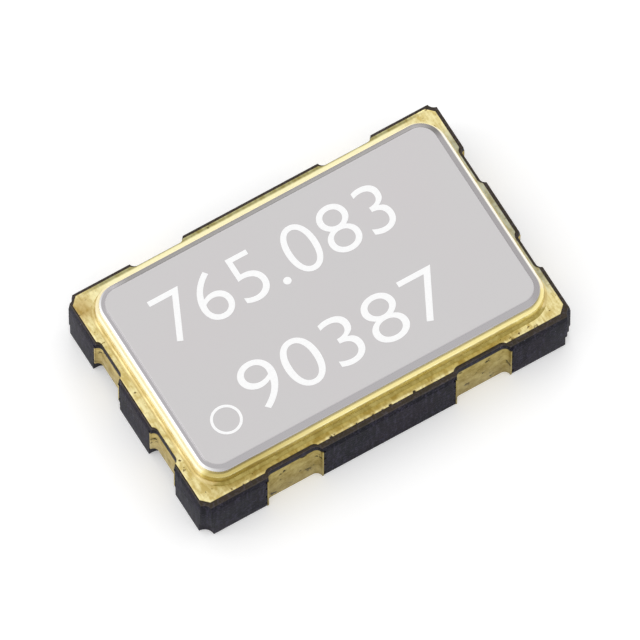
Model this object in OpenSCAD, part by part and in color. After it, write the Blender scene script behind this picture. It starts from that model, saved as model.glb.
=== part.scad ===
// Quartz crystal oscillator in a surface-mount ceramic package, 5.0 x 3.2 mm, about 1 mm high.
// The origin is at the middle of the seating plane, +X along the package, +Z up.
// Films and plating are drawn a little thicker than real ones, so that they show.

/* [Package] */
// Length of the ceramic tub
body_l = 5.0; // [4.8:0.1:6]
// Width of the ceramic tub
body_w = 3.2; // [3.1:0.1:4]
// Radius of the round bite at each corner of the upper sheets
corner_r = 0.1; // [0.06:0.01:0.14]
// Radius of the round bite at each corner of the lowest sheet
foot_corner_r = 0.125; // [0.06:0.005:0.2]
// How far the snapped edge leans in over the top sheet
score_bevel = 0.02; // [0.005:0.005:0.04]

/* [Ceramic sheets] */
// Thickness of the floor sheet, under the chip
floor_h = 0.2; // [0.15:0.01:0.4]
// Thickness of the sheet whose top carries the bond fingers
tier_h = 0.2; // [0.12:0.01:0.24]
// Thickness of the sheet whose top carries the crystal
shelf_h = 0.21; // [0.15:0.01:0.3]
// Thickness of the top sheet, the rim
rim_h = 0.12; // [0.1:0.01:0.3]

/* [Edge slots] */
// Distance between the two slots in a long side
side_pitch = 2.54; // [2.4:0.02:2.8]
// Length of a slot in a long side
side_slot_l = 0.76; // [0.6:0.02:0.9]
// Depth of a slot in a long side, and the radius of its ends
side_slot_r = 0.1; // [0.08:0.01:0.12]
// Distance between the two slots in a short side
end_pitch = 1.27; // [1.1:0.01:1.4]
// Length of a slot in a short side
end_slot_l = 0.57; // [0.4:0.01:0.7]
// Depth of a slot in a short side, and the radius of its ends
end_slot_r = 0.09; // [0.08:0.01:0.12]
// Depth of that slot in the lowest sheet, which keeps solder off the contact above it
end_foot_depth = 0.15; // [0.12:0.01:0.18]
// How much longer the slot is in the lowest sheet, at each end
end_foot_margin = 0.015; // [0.01:0.005:0.04]

/* [Terminals] */
// Thickness of the plated metal of the terminals
plating_t = 0.02; // [0.01:0.005:0.03]
// Length of a solder land along the package
land_l = 1.2; // [1:0.05:1.4]
// Width of a solder land across the package
land_w = 0.95; // [0.6:0.05:1.2]
// Bare ceramic between a land and the edge of the tub
land_edge_gap = 0.04; // [0.02:0.01:0.1]
// Size of the cut corner that marks the first land
land_index = 0.22; // [0.1:0.02:0.4]

/* [Seal] */
// Thickness of the gold-plated frame on the rim
frame_t = 0.015; // [0.01:0.005:0.03]
// Distance from the tub's end to the frame
frame_end_gap = 0.05; // [0.045:0.005:0.07]
// Distance from the tub's side to the frame
frame_side_gap = 0.065; // [0.045:0.005:0.09]
// Bare ceramic between an edge slot and the frame
frame_slot_gap = 0.02; // [0.02:0.005:0.04]
// Leg of the cut corners of the frame
frame_corner = 0.09; // [0.06:0.01:0.14]
// How far the frame is printed off the middle, along the package
frame_shift_x = -0.015; // [-0.02:0.005:0.02]
// How far the frame is printed off the middle, across the package
frame_shift_y = 0.01; // [-0.02:0.005:0.02]
// Thickness of the braze under the ring
braze_t = 0.015; // [0.01:0.005:0.03]
// Radius of the hollow braze fillet outside the ring
fillet_r = 0.04; // [0.02:0.005:0.045]
// Distance from the tub's end to the ring
ring_end_gap = 0.165; // [0.165:0.005:0.26]
// Distance from the tub's side to the ring
ring_side_gap = 0.195; // [0.175:0.005:0.26]
// Width of the ring's wall
ring_wall = 0.3; // [0.2:0.01:0.32]
// Height of the ring
ring_h = 0.15; // [0.1:0.01:0.3]
// Outer corner radius of the ring
ring_r = 0.38; // [0.32:0.01:0.45]
// Radius of the ring's upper outer edge, rounded by the seam weld
ring_edge_r = 0.04; // [0.01:0.005:0.04]
// Corner radius of the openings in the ring and the rim
opening_r = 0.15; // [0.05:0.01:0.25]

/* [Lid] */
// Thickness of the lid
lid_t = 0.1; // [0.08:0.01:0.15]
// How far the lid's edge stands in from the ring's
lid_inset = 0.045; // [0.04:0.005:0.06]
// Width of the pressed weld band round the lid
weld_band_w = 0.08; // [0.05:0.005:0.15]
// How far the weld band drops towards the edge
weld_band_drop = 0.06; // [0.02:0.01:0.07]

/* [Cavity] */
// How far the rim's opening stands in from the ring's
rim_ledge = 0.02; // [0.01:0.01:0.05]
// Length of the shelf that carries the crystal
crystal_shelf_l = 0.75; // [0.7:0.01:0.85]
// Length of the shelf at the crystal's free end
free_shelf_l = 0.75; // [0.6:0.01:0.8]
// Width of the ledge along each long side
side_ledge = 0.1; // [0.05:0.01:0.12]
// Width of the tier that carries the bond fingers
finger_tier_w = 0.38; // [0.36:0.01:0.42]
// Depth of the tier at each end of the chip well
end_tier_l = 0.4; // [0.2:0.02:0.5]

/* [Crystal] */
// Length of the quartz blank
blank_l = 3.2; // [2.9:0.05:3.6]
// Width of the quartz blank
blank_w = 1.5; // [1.3:0.05:1.8]
// Thickness of the quartz blank
blank_t = 0.07; // [0.04:0.01:0.1]
// Gap between the held end of the blank and the rim
blank_end_gap = 0.28; // [0.24:0.01:0.32]
// Gap between the pads and the underside of the blank's film
blank_lift = 0.02; // [0.01:0.005:0.04]
// Thickness of the metal films
film_t = 0.01; // [0.005:0.001:0.012]
// Length of the electrode's middle field
electrode_l = 1.7; // [1.2:0.05:2]
// Width of the electrode's middle field
electrode_w = 1.0; // [0.6:0.05:1.2]
// Width of the strip that leads to the held end
lead_w = 0.2; // [0.1:0.01:0.3]
// Length of the film's contact at the held end
contact_l = 0.3; // [0.2:0.01:0.34]
// Width of the film's contact at the held end
contact_w = 0.4; // [0.39:0.01:0.42]
// Distance from the blank's side to the middle of a dot
dot_inset = 0.22; // [0.2:0.01:0.26]
// Radius of an adhesive dot at its foot
dot_r = 0.2; // [0.16:0.01:0.21]
// Height of an adhesive dot
dot_h = 0.09; // [0.07:0.01:0.1]
// Side of a square crystal pad
pad_side = 0.5; // [0.46:0.01:0.54]
// Thickness of the printed gold
print_t = 0.01; // [0.005:0.001:0.012]
// Length of the rest under the free end
rest_l = 0.12; // [0.06:0.01:0.16]
// Width of the rest under the free end
rest_w = 0.8; // [0.4:0.05:1.2]
// Height of the rest under the free end
rest_h = 0.02; // [0.01:0.001:0.022]

/* [Chip] */
// Length of the chip
chip_l = 1.2; // [1:0.05:1.5]
// Width of the chip
chip_w = 0.8; // [0.7:0.02:0.9]
// Thickness of the chip
chip_t = 0.12; // [0.08:0.01:0.15]
// Thickness of the adhesive under the chip
chip_glue_t = 0.02; // [0.01:0.005:0.03]
// How far that adhesive spreads past the chip
chip_glue_spread = 0.03; // [0.01:0.01:0.05]
// How far the land under the chip reaches past the adhesive
chip_land_margin = 0.07; // [0.02:0.01:0.08]
// Distance between the chip's contacts
contact_pitch = 0.28; // [0.2:0.01:0.34]
// Side of a square contact
contact_side = 0.09; // [0.07:0.01:0.1]
// Distance from the chip's edge to the middle of a contact
contact_inset = 0.08; // [0.06:0.01:0.1]

/* [Wires and tracks] */
// Diameter of a bond wire
wire_d = 0.025; // [0.02:0.001:0.03]
// Height of the wire's loop over its higher end
loop_h = 0.08; // [0.07:0.005:0.09]
// Bend radius of a bond wire
loop_r = 0.06; // [0.03:0.005:0.065]
// Radius of the ball at the chip
ball_r = 0.03; // [0.02:0.002:0.034]
// Height of the ball at the chip
ball_h = 0.015; // [0.01:0.001:0.02]
// Distance between the bond fingers
finger_pitch = 0.44; // [0.36:0.01:0.5]
// Width of a bond finger
finger_w = 0.16; // [0.12:0.01:0.2]
// Gap between the chip well and the fingers
finger_gap = 0.05; // [0.03:0.01:0.08]
// Length of a bond finger
finger_l = 0.28; // [0.2:0.01:0.3]
// Width of a buried track
track_w = 0.1; // [0.06:0.01:0.12]
// Space between buried tracks, and beside the cavity
track_gap = 0.1; // [0.08:0.01:0.11]
// Radius of a filled post between levels
via_r = 0.04; // [0.03:0.005:0.045]

/* [Hidden] */
$fn = 48;

// Cuts run past the faces they open by this much
cut = 0.05;

// Levels of the ceramic, from the seating plane up
base_z = plating_t;
well_z = base_z + floor_h;
tier_z = well_z + tier_h;
shelf_z = tier_z + shelf_h;
rim_z = shelf_z + rim_h;

// Levels of the seal and the lid
frame_z = rim_z + frame_t;
ring_z = frame_z + braze_t;
lid_z = ring_z + ring_h;

// Outlines of the seal and the openings
ring_l = body_l - 2 * ring_end_gap;
ring_w = body_w - 2 * ring_side_gap;
rim_open_l = ring_l - 2 * ring_wall - 2 * rim_ledge;
rim_open_w = ring_w - 2 * ring_wall - 2 * rim_ledge;
tier_open_x0 = -rim_open_l / 2 + crystal_shelf_l;
tier_open_x1 = rim_open_l / 2 - free_shelf_l;
tier_open_w = rim_open_w - 2 * side_ledge;
well_x0 = tier_open_x0 + end_tier_l;
well_x1 = tier_open_x1 - end_tier_l;
well_w = tier_open_w - 2 * finger_tier_w;
well_x = (well_x0 + well_x1) / 2;

// Outline of the lid
lid_l = ring_l - 2 * lid_inset;
lid_w = ring_w - 2 * lid_inset;
lid_r = ring_r - lid_inset;

// Places of the crystal
pad_top = shelf_z + print_t;
blank_z = pad_top + blank_lift + film_t;
blank_x0 = -rim_open_l / 2 + blank_end_gap;
dot_x = blank_x0;
dot_y = blank_w / 2 - dot_inset;
pad_x = -rim_open_l / 2 + blank_end_gap;
// Radius of the sphere that a dot is a cap of
dot_sphere_r = (dot_r * dot_r + dot_h * dot_h) / (2 * dot_h);

// Places of the chip and its wires
glue_z = well_z + print_t;
chip_z = glue_z + chip_glue_t;
contact_z = chip_z + chip_t;
wire_z0 = contact_z + print_t;
wire_z1 = tier_z + print_t;
loop_z = max(wire_z0, wire_z1) + loop_h;
contact_y = chip_w / 2 - contact_inset;
finger_y = well_w / 2 + finger_gap + finger_l / 2;

// Lanes of the buried tracks, across the package
lane_1 = tier_open_w / 2 + track_gap + track_w / 2;
lane_2 = lane_1 + track_w + track_gap;
side_wall_y = body_w / 2 - side_slot_r;
end_wall_x = body_l / 2 - end_slot_r;

// Places of a contact and of a finger: side of the chip, and inner (0) or outer (1)
function contact_x(sx, k) = well_x + sx * contact_pitch * (k + 0.5);
function finger_x(sx, k) = well_x + sx * finger_pitch * (k + 0.5);

// Obround, len long and 2 r wide, that a slot is punched with
module obround(len, r) {
    square([len - 2 * r, 2 * r], center = true);
    for (s = [-1, 1]) translate([s * (len / 2 - r), 0]) circle(r);
}

// The four long-side slots, grown by g
module side_slots(g = 0) {
    for (sx = [-1, 1], sy = [-1, 1])
        translate([sx * side_pitch / 2, sy * body_w / 2]) obround(side_slot_l + 2 * g, side_slot_r + g);
}

// The four short-side slots, grown by g
module end_slots(g = 0) {
    for (sx = [-1, 1], sy = [-1, 1])
        translate([sx * body_l / 2, sy * end_pitch / 2])
            rotate(90) obround(end_slot_l + 2 * g, end_slot_r + g);
}

// The four short-side slots as the lowest sheet has them
module foot_slots() {
    for (sx = [-1, 1], sy = [-1, 1])
        translate([sx * body_l / 2, sy * end_pitch / 2])
            round_rect(2 * end_foot_depth, end_slot_l + 2 * end_foot_margin, end_slot_r);
}

// Round bites at the four corners of the tub
module corner_bites(r) {
    for (sx = [-1, 1], sy = [-1, 1]) translate([sx * body_l / 2, sy * body_w / 2]) circle(r);
}

// Rectangle with round corners
module round_rect(l, w, r) {
    square([l - 2 * r, w], center = true);
    square([l, w - 2 * r], center = true);
    for (sx = [-1, 1], sy = [-1, 1]) translate([sx * (l / 2 - r), sy * (w / 2 - r)]) circle(r);
}

// A profile carried round a rounded rectangle. In the profile, x = r lies on the outline.
module sweep_round(l, w, r) {
    for (a = [0, 180]) rotate(a) {
        translate([l / 2 - r, w / 2 - r, 0]) rotate_extrude(angle = 90) children();
        translate([-l / 2 + r, w / 2 - r, 0]) rotate(90) rotate_extrude(angle = 90) children();
        translate([l / 2 - r, w / 2 - r, 0])
            rotate([90, 0, 0]) linear_extrude(w - 2 * r) children();
        translate([-l / 2 + r, w / 2 - r, 0])
            rotate([90, 0, 90]) linear_extrude(l - 2 * r) children();
    }
}

// Outline of a ceramic sheet, with the given bite at the corners and its slots grown by g
module sheet_outline(bite, g = 0) {
    difference() {
        square([body_l, body_w], center = true);
        corner_bites(bite);
        side_slots(g);
        end_slots(g);
    }
}

// Outline of the lowest sheet, which is cut deeper at the short sides
module foot_outline() {
    difference() {
        sheet_outline(foot_corner_r);
        foot_slots();
    }
}

// Wedge that trims one edge of the top sheet, len long, outside a wall at y = 0
module score_cut(len) {
    rotate([90, 0, 90])
        linear_extrude(len, center = true)
            polygon([[0, 0], [0, rim_h + cut], [-score_bevel * (rim_h + cut) / rim_h, rim_h + cut]]);
}

// Plan of one printed track: straight runs from point to point
module track_plan(points) {
    for (i = [0:len(points) - 2]) {
        a = points[i];
        b = points[i + 1];
        low = [min(a[0], b[0]) - track_w / 2, min(a[1], b[1]) - track_w / 2];
        high = [max(a[0], b[0]) + track_w / 2, max(a[1], b[1]) + track_w / 2];
        translate(low) square(high - low);
    }
}

// Bond finger, centred on the middle of its length
module finger_plan(sx, sy, k) {
    translate([finger_x(sx, k), sy * finger_y]) square([finger_w, finger_l], center = true);
}

// Finger and track that end at a long-side terminal
module side_track_plan(sx, sy) {
    finger_plan(sx, sy, 0);
    track_plan([
        [finger_x(sx, 0), sy * finger_y],
        [finger_x(sx, 0), sy * lane_2],
        [sx * side_pitch / 2, sy * lane_2],
        [sx * side_pitch / 2, sy * (side_wall_y - track_w / 2)]
    ]);
}

// Finger and track that end at a short-side contact, by way of the crystal's pad
module end_track_plan(sx, sy) {
    finger_plan(sx, sy, 1);
    track_plan([
        [finger_x(sx, 1), sy * finger_y],
        [finger_x(sx, 1), sy * lane_1],
        [-sx * pad_x, sy * lane_1],
        [-sx * pad_x, sy * end_pitch / 2],
        [sx * (end_wall_x - track_w / 2), sy * end_pitch / 2]
    ]);
}

// A printed conductor on the finger tier
module printed_track() {
    color("goldenrod") translate([0, 0, tier_z]) linear_extrude(print_t) children();
}

// The co-fired tub: four sheets, each with its own opening, fired into one piece
module ceramic_base() {
    color("#34343a") difference() {
        union() {
            translate([0, 0, base_z]) linear_extrude(floor_h) foot_outline();
            translate([0, 0, well_z]) linear_extrude(shelf_z - well_z) sheet_outline(corner_r);
            // The top sheet comes out flush with the plating below it
            translate([0, 0, shelf_z]) linear_extrude(rim_h) sheet_outline(corner_r, -plating_t);
        }
        // Chip well
        translate([well_x0, -well_w / 2, well_z]) cube([well_x1 - well_x0, well_w, tier_h + cut]);
        // Opening over the finger tier
        translate([tier_open_x0, -tier_open_w / 2, tier_z])
            cube([tier_open_x1 - tier_open_x0, tier_open_w, shelf_h + cut]);
        // Opening in the rim
        translate([0, 0, shelf_z]) linear_extrude(rim_h + cut) round_rect(rim_open_l, rim_open_w, opening_r);
        // Snapped edges of the top sheet
        for (a = [0, 180]) rotate(a) {
            translate([0, body_w / 2, shelf_z]) score_cut(body_l + 2 * cut);
            translate([-body_l / 2, 0, shelf_z]) rotate(90) score_cut(body_w + 2 * cut);
        }
        // Beds of the buried tracks
        translate([0, 0, tier_z]) linear_extrude(print_t)
            for (sx = [-1, 1], sy = [-1, 1]) {
                side_track_plan(sx, sy);
                end_track_plan(sx, sy);
            }
        // Holes of the filled posts
        for (sy = [-1, 1]) crystal_post(sy);
        ground_post();
    }
}

// Post between a crystal track and the pad above it
module crystal_post(sy) {
    translate([pad_x, sy * end_pitch / 2, tier_z + print_t]) cylinder(r = via_r, h = shelf_h - print_t);
}

// Post between the ground track and the frame
module ground_post() {
    translate([(finger_x(1, 0) + side_pitch / 2) / 2, -lane_2, tier_z + print_t])
        cylinder(r = via_r, h = rim_z - tier_z - print_t);
}

// Gold-plated frame that the ring is brazed to
module seal_frame() {
    frame_l = body_l - 2 * frame_end_gap;
    frame_w = body_w - 2 * frame_side_gap;
    color("#d8bf62") translate([0, 0, rim_z]) linear_extrude(frame_t) difference() {
        translate([frame_shift_x, frame_shift_y]) difference() {
            square([frame_l, frame_w], center = true);
            for (sx = [-1, 1], sy = [-1, 1])
                translate([sx * frame_l / 2, sy * frame_w / 2])
                    rotate(45) square(sqrt(2) * frame_corner, center = true);
            side_slots(frame_slot_gap - plating_t);
            end_slots(frame_slot_gap - plating_t);
        }
        ring_opening();
    }
}

// Opening inside the ring
module ring_opening() {
    round_rect(ring_l - 2 * ring_wall, ring_w - 2 * ring_wall, opening_r);
}

// Braze: a thin bed under the ring, and a hollow fillet round its foot
module braze() {
    color("#e6cf74") {
        translate([0, 0, frame_z]) linear_extrude(braze_t) difference() {
            round_rect(ring_l, ring_w, ring_r);
            ring_opening();
        }
        translate([0, 0, frame_z]) sweep_round(ring_l, ring_w, ring_r)
            translate([ring_r, 0]) difference() {
                square(fillet_r);
                translate([fillet_r, fillet_r]) circle(fillet_r);
            }
    }
}

// Ring that the lid is welded to, with its upper outer edge round
module seal_ring() {
    color("#dcc36c") translate([0, 0, ring_z]) difference() {
        union() {
            linear_extrude(ring_h - ring_edge_r) round_rect(ring_l, ring_w, ring_r);
            linear_extrude(ring_h)
                round_rect(ring_l - 2 * ring_edge_r, ring_w - 2 * ring_edge_r, ring_r - ring_edge_r);
            translate([0, 0, ring_h - ring_edge_r]) sweep_round(ring_l, ring_w, ring_r)
                translate([ring_r - ring_edge_r, 0]) intersection() {
                    circle(ring_edge_r);
                    square(ring_edge_r);
                }
        }
        translate([0, 0, -cut]) linear_extrude(ring_h + 2 * cut) ring_opening();
    }
}

// Lid: flat, with its edge pressed down by the seam weld
module lid() {
    flat_r = lid_r - weld_band_w;
    color("#cfcecd") translate([0, 0, lid_z]) {
        linear_extrude(lid_t - weld_band_drop) round_rect(lid_l, lid_w, lid_r);
        linear_extrude(lid_t) round_rect(lid_l - 2 * weld_band_w, lid_w - 2 * weld_band_w, flat_r);
        translate([0, 0, lid_t - weld_band_drop]) sweep_round(lid_l, lid_w, lid_r)
            polygon([[flat_r, 0], [lid_r, 0], [flat_r, weld_band_drop]]);
    }
}

// Plated lining of a slot: a shell on the slot's wall, inside the tub's outline
module slot_lining(len, r) {
    difference() {
        obround(len, r);
        obround(len - 2 * plating_t, r - plating_t);
        translate([-len, 0]) square([2 * len, 2 * r]);
    }
}

// Solder terminal in a long side: the slot's lining and the land under the tub
module terminal(sx, sy, index = 0) {
    land_y = sy * (body_w / 2 - land_edge_gap - land_w / 2);
    color("#c9ad55") {
        translate([sx * side_pitch / 2, sy * body_w / 2, 0])
            rotate(sy > 0 ? 0 : 180) linear_extrude(shelf_z) slot_lining(side_slot_l, side_slot_r);
        linear_extrude(plating_t) difference() {
            translate([sx * side_pitch / 2, land_y]) square([land_l, land_w], center = true);
            side_slots(-plating_t);
            // Cut corner that marks the first land
            if (index > 0)
                translate([sx * (side_pitch / 2 - land_l / 2), land_y - sy * land_w / 2])
                    rotate(45) square(sqrt(2) * index, center = true);
        }
    }
}

// Contact in a short side: the slot's lining, above the lowest sheet
module end_contact(sx, sy) {
    color("#b9a25a") translate([sx * body_l / 2, sy * end_pitch / 2, well_z])
        rotate(sx > 0 ? -90 : 90) linear_extrude(shelf_z - well_z) slot_lining(end_slot_l, end_slot_r);
}

// Quartz blank, held at its -X end
module quartz_blank() {
    color("#dfe6ea") translate([blank_x0, -blank_w / 2, blank_z]) cube([blank_l, blank_w, blank_t]);
}

// Plan of a film: middle field, lead along the blank's side, and contact at the held end
module film_plan(sy) {
    field_x = blank_x0 + blank_l / 2 - electrode_l / 2;
    translate([field_x, -electrode_w / 2]) square([electrode_l, electrode_w]);
    contact_plan(sy);
    lead_y = sy * (electrode_w / 2 - lead_w / 2);
    translate([blank_x0, lead_y - lead_w / 2]) square([field_x - blank_x0 + cut, lead_w]);
}

// Plan of a film's contact over an adhesive dot
module contact_plan(sy) {
    translate([blank_x0, sy * dot_y - contact_w / 2]) square([contact_l, contact_w]);
}

// Upper film, which turns over the end of the blank to reach its dot
module upper_electrode() {
    color("#d9d9de") {
        translate([0, 0, blank_z + blank_t]) linear_extrude(film_t) film_plan(1);
        translate([blank_x0 - film_t, dot_y - contact_w / 2, blank_z - film_t])
            cube([film_t, contact_w, blank_t + 2 * film_t]);
        translate([0, 0, blank_z - film_t]) linear_extrude(film_t) contact_plan(1);
    }
}

// Lower film
module lower_electrode() {
    color("#d2d2d8") translate([0, 0, blank_z - film_t]) linear_extrude(film_t) film_plan(-1);
}

// Conductive adhesive: a low dome that the end of the blank sits in
module adhesive_dot(sy) {
    // Block that cuts the sphere down to its cap
    block = 2 * dot_sphere_r + 2 * cut;
    color("#a9a79f") difference() {
        translate([dot_x, sy * dot_y, pad_top + dot_h - dot_sphere_r]) sphere(dot_sphere_r);
        translate([dot_x, sy * dot_y, pad_top - block / 2]) cube(block, center = true);
        quartz_blank();
        upper_electrode();
        lower_electrode();
    }
}

// Gold pad on the shelf, under an adhesive dot
module crystal_pad(sy) {
    color("goldenrod") translate([pad_x, sy * dot_y, shelf_z + print_t / 2])
        cube([pad_side, pad_side, print_t], center = true);
}

// Printed bar that the free end comes to rest on if the part is knocked
module crystal_rest() {
    color("#6f6a60") translate([tier_open_x1 + rest_l / 2, -rest_w / 2, shelf_z])
        cube([rest_l, rest_w, rest_h]);
}

// Block of the given size, centred on the well, with its foot at z
module well_block(l, w, h, z) {
    translate([well_x - l / 2, -w / 2, z]) cube([l, w, h]);
}

// Metal that the chip sits on
module chip_land() {
    reach = 2 * (chip_glue_spread + chip_land_margin);
    color("goldenrod") well_block(chip_l + reach, chip_w + reach, print_t, well_z);
}

// Adhesive under the chip
module chip_adhesive() {
    spread = 2 * chip_glue_spread;
    color("#8f8d88") well_block(chip_l + spread, chip_w + spread, chip_glue_t, glue_z);
}

// Silicon chip of the oscillator circuit
module chip() {
    color("#565f70") well_block(chip_l, chip_w, chip_t, chip_z);
}

// Bond pads on the chip
module chip_contacts() {
    color("#d5d6d8")
        for (sx = [-1, 1], sy = [-1, 1], k = [0, 1])
            translate([contact_x(sx, k), sy * contact_y, contact_z + print_t / 2])
                cube([contact_side, contact_side, print_t], center = true);
}

// Quarter bend of a wire, from vertical at the origin to level at [loop_r, 0, loop_r]
module wire_bend() {
    translate([loop_r, 0, 0]) rotate([90, 0, 0]) rotate([0, 0, 90])
        rotate_extrude(angle = 90) translate([loop_r, 0]) circle(wire_d / 2);
}

// One wire, from its ball on the chip to its foot on a finger, span away along +X
module bond_wire(span) {
    cylinder(r = ball_r, h = ball_h);
    cylinder(d = wire_d, h = loop_z - loop_r - wire_z0);
    translate([0, 0, loop_z - loop_r - wire_z0]) wire_bend();
    translate([loop_r, 0, loop_z - wire_z0])
        rotate([0, 90, 0]) cylinder(d = wire_d, h = span - 2 * loop_r);
    translate([span, 0, loop_z - loop_r - wire_z0]) mirror([1, 0, 0]) wire_bend();
    translate([span, 0, wire_z1 - wire_z0]) cylinder(d = wire_d, h = loop_z - loop_r - wire_z1);
}

// All the bond wires, one to each finger
module bond_wires() {
    color("gold") for (sx = [-1, 1], sy = [-1, 1], k = [0, 1]) {
        step_x = finger_x(sx, k) - contact_x(sx, k);
        step_y = sy * (finger_y - contact_y);
        translate([contact_x(sx, k), sy * contact_y, wire_z0])
            rotate(atan2(step_y, step_x)) bond_wire(norm([step_x, step_y]));
    }
}

ceramic_base();
seal_frame();
braze();
seal_ring();
lid();
terminal(-1, -1, land_index);  // enable_terminal
terminal(1, -1);  // ground_terminal
terminal(1, 1);  // output_terminal
terminal(-1, 1);  // supply_terminal
end_contact(-1, -1);  // crystal_test_1
end_contact(-1, 1);  // crystal_test_2
end_contact(1, -1);  // tuning_contact_1
end_contact(1, 1);  // tuning_contact_2
quartz_blank();
upper_electrode();
lower_electrode();
adhesive_dot(-1);  // adhesive_dot_1
adhesive_dot(1);  // adhesive_dot_2
crystal_pad(-1);  // crystal_pad_1
crystal_pad(1);  // crystal_pad_2
crystal_rest();
chip();
chip_contacts();
chip_adhesive();
chip_land();
bond_wires();
printed_track() side_track_plan(-1, -1);  // enable_track
printed_track() side_track_plan(1, -1);  // ground_track
printed_track() side_track_plan(1, 1);  // output_track
printed_track() side_track_plan(-1, 1);  // supply_track
printed_track() end_track_plan(-1, -1);  // crystal_track_1
printed_track() end_track_plan(-1, 1);  // crystal_track_2
printed_track() end_track_plan(1, -1);  // tuning_track_1
printed_track() end_track_plan(1, 1);  // tuning_track_2
color("#77746c") crystal_post(-1);  // crystal_via_1
color("#77746c") crystal_post(1);  // crystal_via_2
color("#77746c") ground_post();  // ground_via
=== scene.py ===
"""Looks of a quartz crystal oscillator in a ceramic surface-mount package.

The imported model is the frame. Pieces whose fine edges and round stretches show are modelled
here again, in millimetres, and brought to metres when they are finished.
"""

import logging
import math
import random
from collections.abc import Callable
from dataclasses import dataclass
from enum import Enum
from typing import Any

import bpy
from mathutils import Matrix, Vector


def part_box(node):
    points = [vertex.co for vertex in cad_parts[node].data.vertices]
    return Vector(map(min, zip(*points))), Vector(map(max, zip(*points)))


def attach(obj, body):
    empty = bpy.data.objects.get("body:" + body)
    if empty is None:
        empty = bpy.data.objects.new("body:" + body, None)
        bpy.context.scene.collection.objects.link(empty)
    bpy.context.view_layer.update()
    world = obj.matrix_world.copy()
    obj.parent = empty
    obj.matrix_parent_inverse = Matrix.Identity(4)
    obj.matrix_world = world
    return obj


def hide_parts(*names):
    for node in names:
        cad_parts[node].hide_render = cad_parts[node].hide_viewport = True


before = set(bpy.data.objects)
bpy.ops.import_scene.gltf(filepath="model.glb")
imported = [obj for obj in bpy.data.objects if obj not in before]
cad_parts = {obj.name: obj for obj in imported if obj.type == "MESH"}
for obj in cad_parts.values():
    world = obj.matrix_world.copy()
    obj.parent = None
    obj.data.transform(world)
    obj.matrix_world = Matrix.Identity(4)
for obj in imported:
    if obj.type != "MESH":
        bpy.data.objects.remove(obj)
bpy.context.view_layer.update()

ROOT = "root"
MM = 0.001
# Faces round a quarter turn
ARC_STEPS = 16
# Points nearer to each other than this are merged, in millimetres
TINY = 1e-4
# How far a cutter stands past what it cuts, and past the package's sides, in millimetres
OVER = 0.05
OUTSIDE = 1.0
# Edges flatter than this are shaded smooth
SMOOTH_ANGLE = math.radians(32)
# How far the large faces set the shading of their edges, of 100
FACE_WEIGHT = 80

log = logging.getLogger("oscillator")
Tree = bpy.types.NodeTree
Node = bpy.types.Node
Socket = bpy.types.NodeSocket
Pair = tuple[float, float]
Triple = tuple[float, float, float]


def rgb(code: str) -> tuple[float, float, float, float]:
    """Turns an sRGB hex colour to linear.

    Args:
        code: Colour such as "#d8c070".

    Returns:
        Linear red, green, blue and an alpha of 1.
    """
    shares = (int(code[i : i + 2], 16) / 255 for i in (1, 3, 5))
    linear = [s / 12.92 if s <= 0.04045 else ((s + 0.055) / 1.055) ** 2.4 for s in shares]
    return (linear[0], linear[1], linear[2], 1.0)


def per_mm(size: float) -> float:
    """Pattern scale, in Object coordinates of metres, for features of a size in millimetres."""
    return 1 / (size * MM)


def start_end(limits: Pair) -> dict[str, float]:
    """Inputs of a Map Range node that takes these limits to 0 and 1."""
    return {"From Min": limits[0], "From Max": limits[1]}


class Corner(Enum):
    """A corner or quarter of the package, by the signs of its x and y."""

    FRONT_LEFT = (-1, -1)
    FRONT_RIGHT = (1, -1)
    BACK_RIGHT = (1, 1)
    BACK_LEFT = (-1, 1)

    @property
    def sx(self) -> int:
        """Sign of x."""
        return self.value[0]

    @property
    def sy(self) -> int:
        """Sign of y."""
        return self.value[1]


class Slot(Enum):
    """The record's material slots of the pieces that are modelled here."""

    ALUMINA = "dark_alumina"
    GOLD = "gold_plate"
    LID = "lid_metal"
    TERMINAL = "terminal_gold"


class Join(Enum):
    """What one shape does to another."""

    CUT = "DIFFERENCE"
    ADD = "UNION"


class Blend(Enum):
    """How the colour of a stretch of wear, or of painted light and shade, goes over the colour below."""

    DARKEN = "MULTIPLY"
    HAZE = "SCREEN"
    COVER = "MIX"


class Kind(Enum):
    """Blender's names of the nodes that the finishes and the studio are made with."""

    PLACE = "ShaderNodeTexCoord"
    AXES = "ShaderNodeSeparateXYZ"
    MAPPING = "ShaderNodeMapping"
    NOISE = "ShaderNodeTexNoise"
    ATTRIBUTE = "ShaderNodeAttribute"
    RANGE = "ShaderNodeMapRange"
    MATH = "ShaderNodeMath"
    CLAMP = "ShaderNodeClamp"
    MIX = "ShaderNodeMix"
    BUMP = "ShaderNodeBump"
    LIGHT_PATH = "ShaderNodeLightPath"
    GEOMETRY = "ShaderNodeNewGeometry"
    DIFFUSE = "ShaderNodeBsdfDiffuse"
    EMISSION = "ShaderNodeEmission"
    TRANSPARENT = "ShaderNodeBsdfTransparent"
    ADD_SHADER = "ShaderNodeAddShader"
    MIX_SHADER = "ShaderNodeMixShader"
    BACKGROUND = "ShaderNodeBackground"
    MATERIAL_OUTPUT = "ShaderNodeOutputMaterial"
    WORLD_OUTPUT = "ShaderNodeOutputWorld"


# Input and output numbers of a Mix node that mixes colours
MIX_SHARE, MIX_A, MIX_B, MIX_OUT = 0, 6, 7, 2


def fill(tree: Tree, node: Node, inputs: dict[str | int, Any]) -> None:
    """Fills or links a node's inputs.

    Args:
        tree: Tree that the node is in.
        node: The node.
        inputs: Value, or socket to link from, for each input by name or number.
    """
    for name, value in inputs.items():
        if isinstance(value, Socket):
            tree.links.new(value, node.inputs[name])
        else:
            node.inputs[name].default_value = value


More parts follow.
